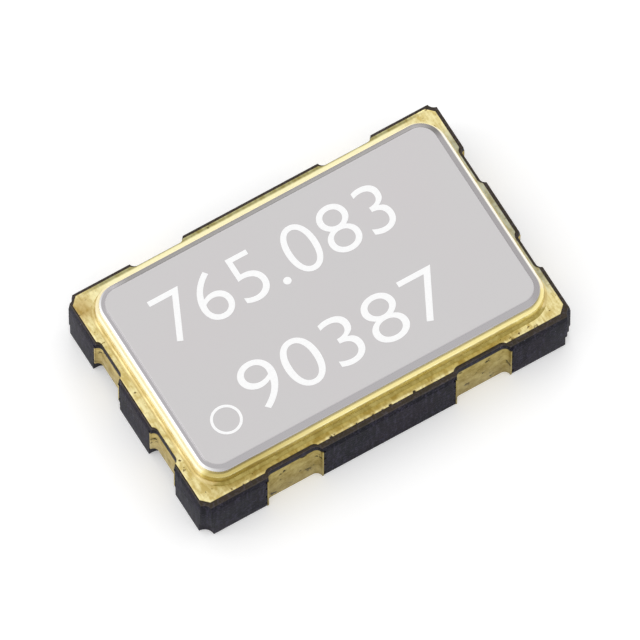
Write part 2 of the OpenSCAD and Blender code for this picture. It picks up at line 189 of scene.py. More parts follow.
def add_node(tree: Tree, kind: Kind, inputs: dict[str | int, Any] | None = None, **settings: Any) -> Node:
    """Adds a node with its settings, and fills or links its inputs.

    Args:
        tree: Tree that the node goes into.
        kind: What node it is.
        inputs: Value, or socket to link from, for each input by name or number.
        **settings: Properties of the node.

    Returns:
        The new node.
    """
    node = tree.nodes.new(kind.value)
    for name, value in settings.items():
        setattr(node, name, value)
    fill(tree, node, inputs or {})
    return node


@dataclass(frozen=True)
class WearAndPaintedLight:
    """A stretch of a piece where its finish has worn or tarnished, or where light and shade are painted on
    it.

    Its limits are in millimetres from the package's middle, and soft_mm is how far its ends
    fade on either side of them along each axis.
    """

    colour: str
    x: Pair | None = None
    y: Pair | None = None
    z: Pair | None = None
    soft_mm: Triple = (0.012, 0.012, 0.012)
    blend: Blend = Blend.DARKEN

    def share(self, tree: Tree, axes: Node) -> Socket:
        """How far a point lies inside the stretch, from 0 to 1, with soft ends.

        Args:
            tree: Tree of the material.
            axes: Node that splits the Object coordinates.

        Returns:
            The share.
        """
        share = None
        for axis, limits, soft in zip(axes.outputs, (self.x, self.y, self.z), self.soft_mm):
            for edge, side in zip(limits or (), (1, -1)):
                reach = start_end(((edge - side * soft) * MM, (edge + side * soft) * MM))
                inside = add_node(tree, Kind.RANGE, {"Value": axis, **reach}).outputs[0]
                if share:
                    inside = add_node(tree, Kind.MATH, {0: share, 1: inside}, operation="MULTIPLY").outputs[0]
                share = inside
        return share


@dataclass(frozen=True)
class Finish:
    """What a piece is made of and how its surface was made. Each kind adds its own pattern."""

    name: str
    roughness: float
    wear_and_light: tuple[WearAndPaintedLight, ...] = ()

    def make(self) -> bpy.types.Material:
        """Builds the material, or returns the one that was built before.

        Returns:
            The material, with its pattern linked.
        """
        found = bpy.data.materials.get(self.name)
        if found:
            return found
        material = bpy.data.materials.new(self.name)
        material.use_nodes = True
        tree = material.node_tree
        shader = next(n for n in tree.nodes if n.type == "BSDF_PRINCIPLED")
        shader.inputs["Roughness"].default_value = self.roughness
        place = add_node(tree, Kind.PLACE).outputs["Object"]
        fill(tree, shader, self.pattern(tree, place))
        return material

    def pattern(self, tree: Tree, place: Socket) -> dict[str | int, Any]:
        """Draws what is particular to this finish. Each kind of finish has its own.

        Args:
            tree: Tree of the material.
            place: Object coordinates.

        Returns:
            Value, or socket to link from, for each input of the shader that it sets.
        """
        raise NotImplementedError

    def add_wear_and_light(self, tree: Tree, place: Socket, colour: Socket) -> Socket:
        """Blends the colour of each stretch of wear, and of painted light and shade, over the finish's own.

        Args:
            tree: Tree of the material.
            place: Object coordinates.
            colour: Colour of the finish when new.

        Returns:
            The colour with its wear and painted light.
        """
        axes = add_node(tree, Kind.AXES, {0: place})
        for stretch in self.wear_and_light:
            patched = add_node(
                tree,
                Kind.MIX,
                {MIX_SHARE: stretch.share(tree, axes), MIX_A: colour, MIX_B: rgb(stretch.colour)},
                data_type="RGBA",
                blend_type=stretch.blend.value,
            )
            colour = patched.outputs[MIX_OUT]
        return colour


@dataclass(frozen=True, kw_only=True)
class FiredAlumina(Finish):
    """Dark alumina, pressed from sheets, scored, fired and snapped apart.

    To the eye it is nearly black with a cold, here and there purple tint, matt, with a fine
    grain from the fired powder, slanted tear lines down the snapped walls and a few pale grains.
    The rim has a brown haze, where the printed metal bled into it as it was fired.
    """

    body: str
    tint: str
    grain: str
    fleck: str
    wave_mm: float = 0.45
    wave_range: Pair = (0.42, 0.62)
    tear_mm: float = 0.035
    tear_length: float = 7.0
    tear_lean: float = 20.0
    tear_share: float = 0.6
    # Grains are drawn about three times as coarse as fired powder, so that they show
    grain_mm: float = 0.03
    grain_range: Pair = (0.78, 0.98)
    grain_most: float = 0.9
    fleck_mm: float = 0.05
    fleck_range: Pair = (0.74, 0.78)
    uneven: float = 0.12
    relief: float = 0.55
    relief_mm: float = 0.01
    ior: float = 1.6
    gloss: float = 0.05

    def pattern(self, tree: Tree, place: Socket) -> dict[str | int, Any]:
        """Drifts the body colour to its tint, draws tear lines, grains and the haze, and roughens it.

        Args:
            tree: Tree of the material.
            place: Object coordinates.

        Returns:
            What each input of the shader is set to or linked from.
        """
        wave = add_node(tree, Kind.NOISE, {"Vector": place, "Scale": per_mm(self.wave_mm), "Detail": 3.0})
        drift = add_node(tree, Kind.RANGE, {"Value": wave.outputs[0], **start_end(self.wave_range)})
        body = add_node(
            tree,
            Kind.MIX,
            {MIX_SHARE: drift.outputs[0], MIX_A: rgb(self.body), MIX_B: rgb(self.tint)},
            data_type="RGBA",
        )
        lean = math.radians(self.tear_lean)
        drawn = add_node(
            tree,
            Kind.MAPPING,
            {"Vector": place, "Rotation": (lean, lean, 0.0), "Scale": (1.0, 1.0, 1 / self.tear_length)},
        )
        tear = add_node(
            tree,
            Kind.NOISE,
            {"Vector": drawn.outputs[0], "Scale": per_mm(self.tear_mm), "Detail": 4.0},
        )
        grain = add_node(
            tree,
            Kind.NOISE,
            {"Vector": place, "Scale": per_mm(self.grain_mm), "Detail": 3.0, "Roughness": 0.6},
        )
        mixed = add_node(
            tree,
            Kind.MATH,
            {0: tear.outputs[0], 1: self.tear_share, 2: grain.outputs[0]},
            operation="MULTIPLY_ADD",
        )
        share = add_node(
            tree,
            Kind.RANGE,
            {"Value": mixed.outputs[0], **start_end(self.grain_range), "To Max": self.grain_most},
        )
        colour = add_node(
            tree,
            Kind.MIX,
            {MIX_SHARE: share.outputs[0], MIX_A: body.outputs[MIX_OUT], MIX_B: rgb(self.grain)},
            data_type="RGBA",
        )
        fleck = add_node(tree, Kind.NOISE, {"Vector": place, "Scale": per_mm(self.fleck_mm), "Detail": 1.0})
        pale = add_node(tree, Kind.RANGE, {"Value": fleck.outputs[0], **start_end(self.fleck_range)})
        flecked = add_node(
            tree,
            Kind.MIX,
            {MIX_SHARE: pale.outputs[0], MIX_A: colour.outputs[MIX_OUT], MIX_B: rgb(self.fleck)},
            data_type="RGBA",
        )
        spread = add_node(
            tree,
            Kind.RANGE,
            {
                "Value": grain.outputs[0],
                "To Min": self.roughness - self.uneven,
                "To Max": self.roughness + self.uneven,
            },
        )
        bump = add_node(
            tree,
            Kind.BUMP,
            {"Height": mixed.outputs[0], "Strength": self.relief, "Distance": self.relief_mm * MM},
        )
        return {
            "Base Color": self.add_wear_and_light(tree, place, flecked.outputs[MIX_OUT]),
            "Roughness": spread.outputs[0],
            "Normal": bump.outputs[0],
            "IOR": self.ior,
            "Specular IOR Level": self.gloss,
        }


@dataclass(frozen=True, kw_only=True)
class PlatedGold(Finish):
    """Thin gold plated over nickel and printed metal.

    To the eye it is a pale, slightly green gold with cloudy patches, short slanted scuffs from
    handling in trays, and a few brown pin stains where the print below shows through.
    Stretches of wear, and of painted light and shade, change it from place to place.
    """

    pale: str
    deep: str
    stain: str
    cloud_mm: float = 0.2
    # Scuffs are drawn a few times as wide as the real ones, so that they show
    scuff_mm: float = 0.035
    scuff_length: float = 5.0
    scuff_turn: float = 32.0
    scuff_depth: float = 0.7
    contrast: float = 0.13
    stain_mm: float = 0.14
    stain_share: float = 0.7
    stain_edge: float = 0.06
    uneven: float = 0.15
    relief: float = 0.5
    relief_mm: float = 0.004

    def pattern(self, tree: Tree, place: Socket) -> dict[str | int, Any]:
        """Clouds the gold, scuffs it, dots it with pin stains and wears it.

        Args:
            tree: Tree of the material.
            place: Object coordinates.

        Returns:
            What each input of the shader is set to or linked from.
        """
        cloud = add_node(
            tree,
            Kind.NOISE,
            {"Vector": place, "Scale": per_mm(self.cloud_mm), "Detail": 5.0, "Roughness": 0.62},
        )
        turn = (0.0, 0.0, math.radians(self.scuff_turn))
        slanted = add_node(
            tree,
            Kind.MAPPING,
            {"Vector": place, "Rotation": turn, "Scale": (1.0, 1 / self.scuff_length, 1.0)},
        )
        scuff = add_node(
            tree,
            Kind.NOISE,
            {"Vector": slanted.outputs[0], "Scale": per_mm(self.scuff_mm), "Detail": 3.0},
        )
        both = add_node(
            tree,
            Kind.MATH,
            {0: scuff.outputs[0], 1: self.scuff_depth, 2: cloud.outputs[0]},
            operation="MULTIPLY_ADD",
        )
        middle = (1 + self.scuff_depth) / 2
        tone = {"Value": both.outputs[0], **start_end((middle - self.contrast, middle + self.contrast))}
        share = add_node(tree, Kind.RANGE, tone)
        gold = add_node(
            tree,
            Kind.MIX,
            {MIX_SHARE: share.outputs[0], MIX_A: rgb(self.pale), MIX_B: rgb(self.deep)},
            data_type="RGBA",
        )
        pin = add_node(
            tree,
            Kind.NOISE,
            {"Vector": place, "Scale": per_mm(self.stain_mm), "Detail": 4.0, "Roughness": 0.65},
        )
        pin_range = (self.stain_share, self.stain_share + self.stain_edge)
        spot = add_node(tree, Kind.RANGE, {"Value": pin.outputs[0], **start_end(pin_range)})
        stained = add_node(
            tree,
            Kind.MIX,
            {MIX_SHARE: spot.outputs[0], MIX_A: gold.outputs[MIX_OUT], MIX_B: rgb(self.stain)},
            data_type="RGBA",
        )
        level = {"To Min": self.roughness, "To Max": self.roughness + self.uneven}
        spread = add_node(tree, Kind.RANGE, {**tone, **level})
        bump = add_node(
            tree,
            Kind.BUMP,
            {"Height": both.outputs[0], "Strength": self.relief, "Distance": self.relief_mm * MM},
        )
        return {
            "Metallic": 1.0,
            "Base Color": self.add_wear_and_light(tree, place, stained.outputs[MIX_OUT]),
            "Roughness": spread.outputs[0],
            "Normal": bump.outputs[0],
        }


@dataclass(frozen=True, kw_only=True)
class LidNickel(Finish):
    """Iron-nickel-cobalt sheet, nickel plated and lightly brushed, with a seam-welded edge.

    To the eye it is a level pale grey with hardly any gloss and faint lines along its
    length. The welded band is a step darker and was rolled smooth. Its outermost edge
    carries a painted highlight, full on the left and fading round the corners.
    """

    plain: str
    other: str
    band: str
    # White of the painted highlight on the outermost edge
    edge_highlight: str = "#ffffff"
    band_mm: Pair = (0.072, 0.079)
    band_roughness: float = 0.26
    # Brushing is drawn four times as coarse as the abrasive, so that it shows
    brush_mm: float = 0.012
    brush_length: float = 50.0
    drift_mm: float = 1.2
    relief: float = 0.2
    relief_mm: float = 0.001

    def pattern(self, tree: Tree, place: Socket) -> dict[str | int, Any]:
        """Draws the brushing on the flat, the tones of the welded band by distance from the edge, and the
        painted edge highlight.

        Args:
            tree: Tree of the material.
            place: Object coordinates.

        Returns:
            What each input of the shader is set to or linked from.
        """
        lines = {"Vector": place, "Scale": (1 / self.brush_length, 1.0, 1.0)}
        drawn = add_node(tree, Kind.MAPPING, lines)
        brush = add_node(
            tree,
            Kind.NOISE,
            {"Vector": drawn.outputs[0], "Scale": per_mm(self.brush_mm), "Detail": 2.0},
        )
        drift = add_node(tree, Kind.NOISE, {"Vector": place, "Scale": per_mm(self.drift_mm), "Detail": 1.0})
        flat = add_node(
            tree,
            Kind.MIX,
            {MIX_SHARE: drift.outputs[0], MIX_A: rgb(self.plain), MIX_B: rgb(self.other)},
            data_type="RGBA",
        )
        rolled = add_node(
            tree,
            Kind.MIX,
            {MIX_SHARE: 1.0, MIX_A: flat.outputs[MIX_OUT], MIX_B: rgb(self.band)},
            data_type="RGBA",
            blend_type=Blend.DARKEN.value,
        )
        # The band with its painted shade by side
        band = self.add_wear_and_light(tree, place, rolled.outputs[MIX_OUT])
        edge = add_node(tree, Kind.ATTRIBUTE, attribute_name="from_edge").outputs["Fac"]
        step = {"Value": edge, **start_end(self.band_mm)}
        on_flat = add_node(tree, Kind.RANGE, step)
        colour = add_node(
            tree,
            Kind.MIX,
            {MIX_SHARE: on_flat.outputs[0], MIX_A: band, MIX_B: flat.outputs[MIX_OUT]},
            data_type="RGBA",
        )
        # Painted highlight: white over the outermost edge, by the stored share
        highlight_share = add_node(tree, Kind.ATTRIBUTE, attribute_name="painted_edge_highlight").outputs["Fac"]
        highlight_mask = add_node(tree, Kind.CLAMP, {0: highlight_share})
        highlighted = add_node(
            tree,
            Kind.MIX,
            {MIX_SHARE: highlight_mask.outputs[0], MIX_A: colour.outputs[MIX_OUT], MIX_B: rgb(self.edge_highlight)},
            data_type="RGBA",
        )
        spread = add_node(tree, Kind.RANGE, {**step, "To Min": self.band_roughness, "To Max": self.roughness})
        bump = add_node(
            tree,
            Kind.BUMP,
            {"Height": brush.outputs[0], "Strength": self.relief, "Distance": self.relief_mm * MM},
        )
        return {
            "Metallic": 1.0,
            "Base Color": highlighted.outputs[MIX_OUT],
            "Roughness": spread.outputs[0],
            "Normal": bump.outputs[0],
        }


@dataclass(frozen=True, kw_only=True)
class PlainSpeckle(Finish):
    """A finish with one colour that drifts to another in small grains, such as ink or print."""

    main: str
    other: str
    grain_mm: float
    grain_range: Pair = (0.35, 0.7)
    metallic: float = 0.0
    relief: float = 0.4
    relief_mm: float = 0.002
    clear: float = 0.0
    ior: float = 1.5

    def pattern(self, tree: Tree, place: Socket) -> dict[str | int, Any]:
        """Mixes the two colours by a fine grain that also lifts the surface.

        Args:
            tree: Tree of the material.
            place: Object coordinates.

        Returns:
            What each input of the shader is set to or linked from.
        """
        grain = add_node(tree, Kind.NOISE, {"Vector": place, "Scale": per_mm(self.grain_mm), "Detail": 4.0})
        share = add_node(tree, Kind.RANGE, {"Value": grain.outputs[0], **start_end(self.grain_range)})
        colour = add_node(
            tree,
            Kind.MIX,
            {MIX_SHARE: share.outputs[0], MIX_A: rgb(self.main), MIX_B: rgb(self.other)},
            data_type="RGBA",
        )
        bump = add_node(
            tree,
            Kind.BUMP,
            {"Height": grain.outputs[0], "Strength": self.relief, "Distance": self.relief_mm * MM},
        )
        # A metal keeps the shader's own IOR
        bends = {} if self.metallic else {"IOR": self.ior}
        return {
            "Metallic": self.metallic,
            "Transmission Weight": self.clear,
            "Base Color": colour.outputs[MIX_OUT],
            "Normal": bump.outputs[0],
            **bends,
        }


# Tub: nearly black and matt, with a brown haze in the rim's last hundredths of a millimetre
ALUMINA = FiredAlumina(
    "fired dark alumina",
    0.5,
    body="#090a14",
    tint="#150f1b",
    grain="#353242",
    fleck="#5d5c68",
    wear_and_light=(WearAndPaintedLight("#3c3527", z=(0.722, 1.0), soft_mm=(0.01, 0.01, 0.004), blend=Blend.HAZE),),
)
# Frame: plated straight on the rough print, so it is mottled and stained, with painted shade and highlight by
# side
FRAME_GOLD = PlatedGold(
    "gold plate on printed metal",
    0.3,
    pale="#f5e9b0",
    deep="#d0bb76",
    stain="#6a5226",
    stain_mm=0.07,
    stain_share=0.63,
    cloud_mm=0.12,
    scuff_depth=0.5,
    scuff_length=3.5,
    wear_and_light=(
        # Darker at the back-left corner
        WearAndPaintedLight("#dccfbd", x=(-2.5, -2.27), y=(1.22, 1.5), soft_mm=(0.06, 0.06, 0.01)),
        # Painted shade: the front strip darker
        WearAndPaintedLight("#cdc5a5", x=(-2.15, 1.75), y=(-1.503, -1.39), soft_mm=(0.15, 0.012, 0.01)),
        # Cooler and darker at the right end
        WearAndPaintedLight("#c4ceee", x=(2.36, 2.6), y=(-1.15, 1.15), soft_mm=(0.012, 0.15, 0.01)),
        # Painted highlight: the back strip paler
        WearAndPaintedLight("#fbf4c4", x=(-2.1, 2.05), y=(1.38, 1.5), soft_mm=(0.15, 0.012, 0.01), blend=Blend.COVER),
        # Darker along the back edge
        WearAndPaintedLight("#b0b4ae", x=(-2.2, 2.2), y=(1.504, 1.7), soft_mm=(0.15, 0.01, 0.01)),
    ),
)
# Ring: plated on smooth rolled metal, so it is bright; its near-white colour is painted highlight, yellower
# on its rolled-over top, with more painted highlight and shade by side
RING_GOLD = PlatedGold(
    "gold plate on rolled alloy",
    0.25,
    # Near-white: painted highlight over the gold's own colour
    pale="#fffcec",
    deep="#f6edcc",
    stain="#8a6f35",
    stain_share=0.78,
    wear_and_light=(
        WearAndPaintedLight("#f9ecbf", z=(0.906, 2.0), blend=Blend.COVER),
        # Painted highlight: the right end's top whiter
        WearAndPaintedLight(
            "#fdfaf0",
            x=(2.2, 3.0),
            y=(-1.1, 1.15),
            z=(0.895, 2.0),
            soft_mm=(0.05, 0.08, 0.01),
            blend=Blend.COVER,
        ),
        # The front side yellower, toning down its painted highlight
        WearAndPaintedLight("#fffddd", y=(-2.0, -1.2)),
        # Painted shade: the front-left side darker
        WearAndPaintedLight("#d0cab4", x=(-3.0, -1.15), y=(-2.0, -1.23), soft_mm=(0.5, 0.03, 0.01)),
    ),
)
# Braze: plated on metal that froze from the melt, so it is duller and deeper than the ring
BRAZE_GOLD = PlatedGold(
    "gold plate over braze",
    0.34,
    pale="#e4d298",
    deep="#cbb677",
    stain="#80642c",
    stain_share=0.72,
    # Painted shade: the braze along the front darker
    wear_and_light=(WearAndPaintedLight("#c8c6a4", x=(-2.25, 2.25), y=(-1.7, -1.36)),),
)
# Slots and lands: plated on print that was pressed into rough walls, so it is dull olive gold
# with dark specks
SLOT_GOLD = PlatedGold(
    "gold plate in the slots",
    0.42,
    pale="#d4c284",
    deep="#a38e4c",
    stain="#453a18",
    stain_mm=0.15,
    stain_share=0.6,
    scuff_depth=0.4,
    scuff_length=2.5,
    contrast=0.2,
    # Painted shade: the front slots and lands darker
    wear_and_light=(WearAndPaintedLight("#dcdccc", y=(-2.0, -1.3)),),
)
# Lid: one level grey, with painted shade on its band: darker along the back, and less so along the right
LID_NICKEL = LidNickel(
    "nickel-plated lid sheet",
    0.42,
    plain="#cdc9ca",
    other="#cccbcb",
    band="#e1e0e2",
    wear_and_light=(
        # Painted shade: the band darker along the back, and a little along the right
        WearAndPaintedLight("#c6c6c2", x=(-1.95, 2.5), y=(1.08, 1.5), soft_mm=(0.15, 0.06, 0.01)),
        WearAndPaintedLight("#f0efee", x=(2.1, 2.5), soft_mm=(0.04, 0.01, 0.01)),
    ),
)
# Printed epoxy ink: flat white with hardly any gloss
MARKING_INK = PlainSpeckle(
    "white marking ink",
    0.6,
    main="#ffffff",
    other="#fafafa",
    grain_mm=0.02,
)
# Lapped and etched quartz: clear, with a faint haze from the lapping
QUARTZ = PlainSpeckle(
    "lapped quartz",
    0.12,
    main="#f4f8fa",
    other="#e6eef2",
    grain_mm=0.02,
    clear=0.9,
    ior=1.544,
    relief_mm=0.0006,
)
# Silver evaporated on the quartz: a white mirror that the lapping below makes a little soft
SILVER_FILM = PlainSpeckle(
    "evaporated silver film",
    0.22,
    main="#dcdcdf",
    other="#c6c7cc",
    grain_mm=0.03,
    metallic=1.0,
    relief_mm=0.0004,
)
# Cured silicone full of silver flakes: dull grey with a metal glint, its flakes at their real size
SILVER_ADHESIVE = PlainSpeckle(
    "silver-filled adhesive",
    0.5,
    main="#b9b7af",
    other="#8e8c86",
    grain_mm=0.015,
    metallic=0.7,
)
# Cured epoxy with less silver, under the chip: darker and flatter
CHIP_ADHESIVE = PlainSpeckle(
    "grey chip adhesive",
    0.45,
    main="#a09e99",
    other="#7d7b77",
    grain_mm=0.015,
    metallic=0.5,
)
# Printed tungsten, nickel and gold plated: deep gold, its grain drawn a few times as coarse
PRINTED_GOLD = PlainSpeckle(
    "screen-printed gold",
    0.38,
    main="#dcc069",
    other="#bfa04b",
    grain_mm=0.02,
    metallic=1.0,
)
# Tungsten paste, fired and bare: dull dark grey, its grains drawn about five times as coarse
TUNGSTEN = PlainSpeckle(
    "fired tungsten print",
    0.55,
    main="#7a766d",
    other="#5e5b54",
    grain_mm=0.015,
    metallic=0.9,
)
# Silicon, ground thin: dark blue-grey and smooth, with a faint mottle of the circuit's cells
SILICON = PlainSpeckle(
    "ground silicon",
    0.2,
    main="#59616f",
    other="#474e5c",
    grain_mm=0.05,
    metallic=0.6,
    relief_mm=0.0004,
)
# Aluminium sputtered on the chip: pale and nearly smooth, its grains drawn ten times as coarse
ALUMINIUM = PlainSpeckle(
    "sputtered aluminium",
    0.3,
    main="#dadbdd",
    other="#c3c4c8",
    grain_mm=0.01,
    metallic=1.0,
    relief_mm=0.0004,
)
# Gold drawn through a die: rich yellow and smooth, its fine lines drawn as a faint grain
GOLD_WIRE = PlainSpeckle(
    "drawn gold wire",
    0.2,
    main="#f1c95c",
    other="#dcb047",
    grain_mm=0.01,
    metallic=1.0,
    relief_mm=0.0003,
)


class Workpiece:
    """A mesh on the bench, shaped with Blender's operators in millimetres."""

    def __init__(self, name: str) -> None:
        """Takes the object that an operator has just added, and names it.

        Args:
            name: Name of the piece.
        """
        self.obj = bpy.context.object
        self.obj.name = name
        self.settle()

    @staticmethod
    def clear_bench() -> None:
        """Leaves edit mode and deselects everything, so that an operator acts on new work alone."""
        if bpy.context.object and bpy.context.object.mode != "OBJECT":
            bpy.ops.object.mode_set(mode="OBJECT")
        bpy.ops.object.select_all(action="DESELECT")

    @classmethod
    def block(cls, name: str, low: Triple | Vector, high: Triple | Vector) -> "Workpiece":
        """A block between two corners.

        Args:
            name: Name of the piece.
            low: Lowest corner.
            high: Highest corner.

        Returns:
            The block.
        """
        cls.clear_bench()
        size = Vector(high) - Vector(low)
        bpy.ops.mesh.primitive_cube_add(size=1, location=(Vector(high) + Vector(low)) / 2, scale=size)
        return cls(name)

    @classmethod
    def post(cls, name: str, radius: float, at: Pair, low_z: float, high_z: float) -> "Workpiece":
        """An upright round post, with a flat of its outline across each axis.

        Args:
            name: Name of the piece.
            radius: Its radius.
            at: Its centre in plan.
            low_z: Height of its foot.
            high_z: Height of its top.

        Returns:
            The post.
        """
        cls.clear_bench()
        sides = 4 * ARC_STEPS
        bpy.ops.mesh.primitive_cylinder_add(
            vertices=sides,
            radius=radius,
            depth=high_z - low_z,
            location=(at[0], at[1], (low_z + high_z) / 2),
            rotation=(0, 0, math.pi / sides),
        )
        return cls(name)

    @classmethod
    def obround(cls, name: str, size: Pair, at: Pair, low_z: float, high_z: float) -> "Workpiece":
        """An upright post with two flat sides and round ends, as a slot is punched.

        Args:
            name: Name of the piece.
            size: Its size along x and along y; the longer one has the round ends.
            at: Its centre in plan.
            low_z: Height of its foot.
            high_z: Height of its top.

        Returns:
            The obround post.
        """
        piece = cls.post(name, min(size) / 2, at, low_z, high_z)
        axis = 0 if size[0] > size[1] else 1
        for sign in (-1, 1):
            shift = Vector((0, 0, 0))
            shift[axis] = sign * (max(size) - min(size)) / 2
            piece.pick_points(lambda p: sign * (p[axis] - at[axis]) > 0)
            bpy.ops.transform.translate(value=shift)
            piece.leave()
        return piece

    @classmethod
    def plate(
        cls,
        name: str,
        size: Pair,
        radius: float,
        z: float,
        rise: float,
        at: Pair = (0.0, 0.0),
        steps: int = ARC_STEPS,
    ) -> "Workpiece":
        """A flat plate with round corners, or with cut ones where they have a single step.

        Args:
            name: Name of the piece.
            size: Its length and width.
            radius: Radius of its corners.
            z: Height of its foot.
            rise: Its thickness.
            at: Its centre in plan.
            steps: Faces round each corner.

        Returns:
            The plate.
        """
        cls.clear_bench()
        bpy.ops.mesh.primitive_plane_add(size=1, location=(at[0], at[1], z))
        bpy.context.object.scale = (size[0], size[1], 1)
        piece = cls(name)
        piece.pick_points(lambda p: True)
        bpy.ops.mesh.bevel(offset=radius, affect="VERTICES", segments=steps, clamp_overlap=False)
        bpy.ops.mesh.select_mode(type="FACE")
        bpy.ops.mesh.select_all(action="SELECT")
        bpy.ops.mesh.extrude_region_move(TRANSFORM_OT_translate={"value": (0, 0, rise)})
        piece.leave()
        piece.face_out()
        return piece

    @classmethod
    def flakes(
        cls,
        places: list[Triple],
        radius: Pair,
        chance: random.Random,
        stretch: Pair = (0.8, 1.3),
    ) -> "Workpiece":
        """Makes small broken-edged lumps, each of its own size and turn, to cut chips with.

        Args:
            places: Where their middles are.
            radius: Smallest and largest radius.
            chance: Seeded source of their sizes and turns.
            stretch: Smallest and largest height for a breadth of 1.

        Returns:
            All of them in one mesh.
        """
        lumps = []
        for place in places:
            cls.clear_bench()
            bpy.ops.mesh.primitive_ico_sphere_add(
                subdivisions=1,
                radius=chance.uniform(*radius),
                location=place,
                rotation=[chance.uniform(0, math.pi) for _ in range(3)],
                scale=(1, 1, chance.uniform(*stretch)),
            )
            lumps.append(bpy.context.object)
        cls.clear_bench()
        for lump in lumps:
            lump.select_set(True)
        bpy.context.view_layer.objects.active = lumps[0]
        bpy.ops.object.join()
        return cls("flakes")

    def take_up(self) -> None:
        """Makes this piece the only one that operators act on."""
        self.clear_bench()
        self.obj.select_set(True)
        bpy.context.view_layer.objects.active = self.obj

    def settle(self) -> None:
        """Moves the piece's place, turn and scale into its mesh."""
        self.take_up()
        bpy.ops.object.transform_apply(location=True, rotation=True, scale=True)

    def enter(self) -> None:
        """Opens the mesh with nothing picked."""
        self.take_up()
        bpy.ops.object.mode_set(mode="EDIT")
        bpy.ops.mesh.select_all(action="DESELECT")

    def leave(self) -> None:
        """Closes the mesh."""
        bpy.ops.object.mode_set(mode="OBJECT")

    def pick_points(self, test: Callable[[Vector], bool]) -> None:
        """Opens the mesh with some of its points picked.

        Args:
            test: Says of a point's place whether it is picked.
        """
        self.enter()
        bpy.ops.mesh.select_mode(type="VERT")
        self.leave()
        for point in self.obj.data.vertices:
            point.select = test(point.co)
        bpy.ops.object.mode_set(mode="EDIT")

    def pick_faces(self, test: Callable[[Vector, Vector], bool]) -> None:
        """Opens the mesh with some of its faces picked.

        Args:
            test: Says of a face's centre and normal whether it is picked.
        """
        self.enter()
        bpy.ops.mesh.select_mode(type="FACE")
        self.leave()
        for face in self.obj.data.polygons:
            face.select = test(face.center, face.normal)
        bpy.ops.object.mode_set(mode="EDIT")

    def pick_top(self) -> None:
        """Opens the mesh with its upward faces picked."""
        self.pick_faces(lambda centre, normal: normal.z > 0.5)

    def face_out(self) -> None:
        """Turns every face outwards."""
        self.pick_faces(lambda centre, normal: True)
        bpy.ops.mesh.normals_make_consistent(inside=False)
        self.leave()

    def weld(self) -> None:
        """Merges points that lie on each other, as those of two faces that should share an edge."""
        self.pick_points(lambda p: True)
        bpy.ops.mesh.remove_doubles(threshold=TINY)
        self.leave()
        self.face_out()

    def step_in(self, profile: list[Pair]) -> None:
        """Insets the picked faces along a profile, and closes the mesh.

        Args:
            profile: Distance from the edge and height at each step, the first being where it starts.
        """
        for (reach, height), (next_reach, next_height) in zip(profile, profile[1:]):
            bpy.ops.mesh.inset(
                thickness=next_reach - reach,
                depth=next_height - height,
                use_even_offset=True,
                use_boundary=True,
            )
        self.leave()

    def join(self, tool: "Workpiece", how: Join = Join.CUT) -> None:
        """Cuts the tool's shape out of the piece, or adds it, and clears the tool away.

        Args:
            tool: The other shape.
            how: Whether the tool cuts or adds.
        """
        self.modify("BOOLEAN", operation=how.value, solver="EXACT", object=tool.obj)
        bpy.data.objects.remove(tool.obj)

    def modify(self, kind: str, **settings: Any) -> None:
        """Adds a modifier and applies it.

        Args:
            kind: Blender's name of the modifier type.
            **settings: Properties of the modifier.
        """
        self.take_up()
        modifier = self.obj.modifiers.new(kind, kind)
        for name, value in settings.items():
            setattr(modifier, name, value)
        bpy.ops.object.modifier_apply(modifier=modifier.name)

    def soften(self, width: float, steps: int = 2, angle: float = 30.0) -> None:
        """Rounds every sharp edge.

        Args:
            width: Width of the rounding.
            steps: Faces across it.
            angle: Edges sharper than this, in degrees, are rounded.
        """
        limit = math.radians(angle)
        self.modify("BEVEL", width=width, segments=steps, limit_method="ANGLE", angle_limit=limit)

    def twin(self, name: str, turn: float, shift: Pair) -> "Workpiece":
        """A copy with its own mesh, turned about the package's middle and then moved.

        Args:
            name: Name of the copy.
            turn: Degrees about z.
            shift: Distance in x and y.

        Returns:
            The copy.
        """
        self.take_up()
        bpy.ops.object.duplicate()
        bpy.context.object.rotation_euler = (0, 0, math.radians(turn))
        bpy.context.object.location = (shift[0], shift[1], 0)
        return Workpiece(name)

    def finish(self, finish: Finish, slot: Slot | None, *nodes: str) -> None:
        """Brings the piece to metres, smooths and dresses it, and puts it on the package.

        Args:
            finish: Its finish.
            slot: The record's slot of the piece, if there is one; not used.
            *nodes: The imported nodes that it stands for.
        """
        self.obj.scale = (MM, MM, MM)
        self.settle()
        bpy.ops.object.shade_smooth_by_angle(angle=SMOOTH_ANGLE)
        self.modify("WEIGHTED_NORMAL", keep_sharp=True, weight=FACE_WEIGHT)
        self.obj.data.materials.clear()
        self.obj.data.materials.append(finish.make())
        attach(self.obj, ROOT)
        if nodes:
            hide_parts(*nodes)
        log.info("%s: %s, %d faces", self.obj.name, finish.name, len(self.obj.data.polygons))


def box_mm(node: str) -> tuple[Vector, Vector]:
    """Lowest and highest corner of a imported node, in millimetres."""
    low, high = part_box(node)
    return low / MM, high / MM


def plan_mm(node: str) -> Pair:
    """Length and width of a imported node, in millimetres."""
    low, high = box_mm(node)
    return (high.x - low.x, high.y - low.y)


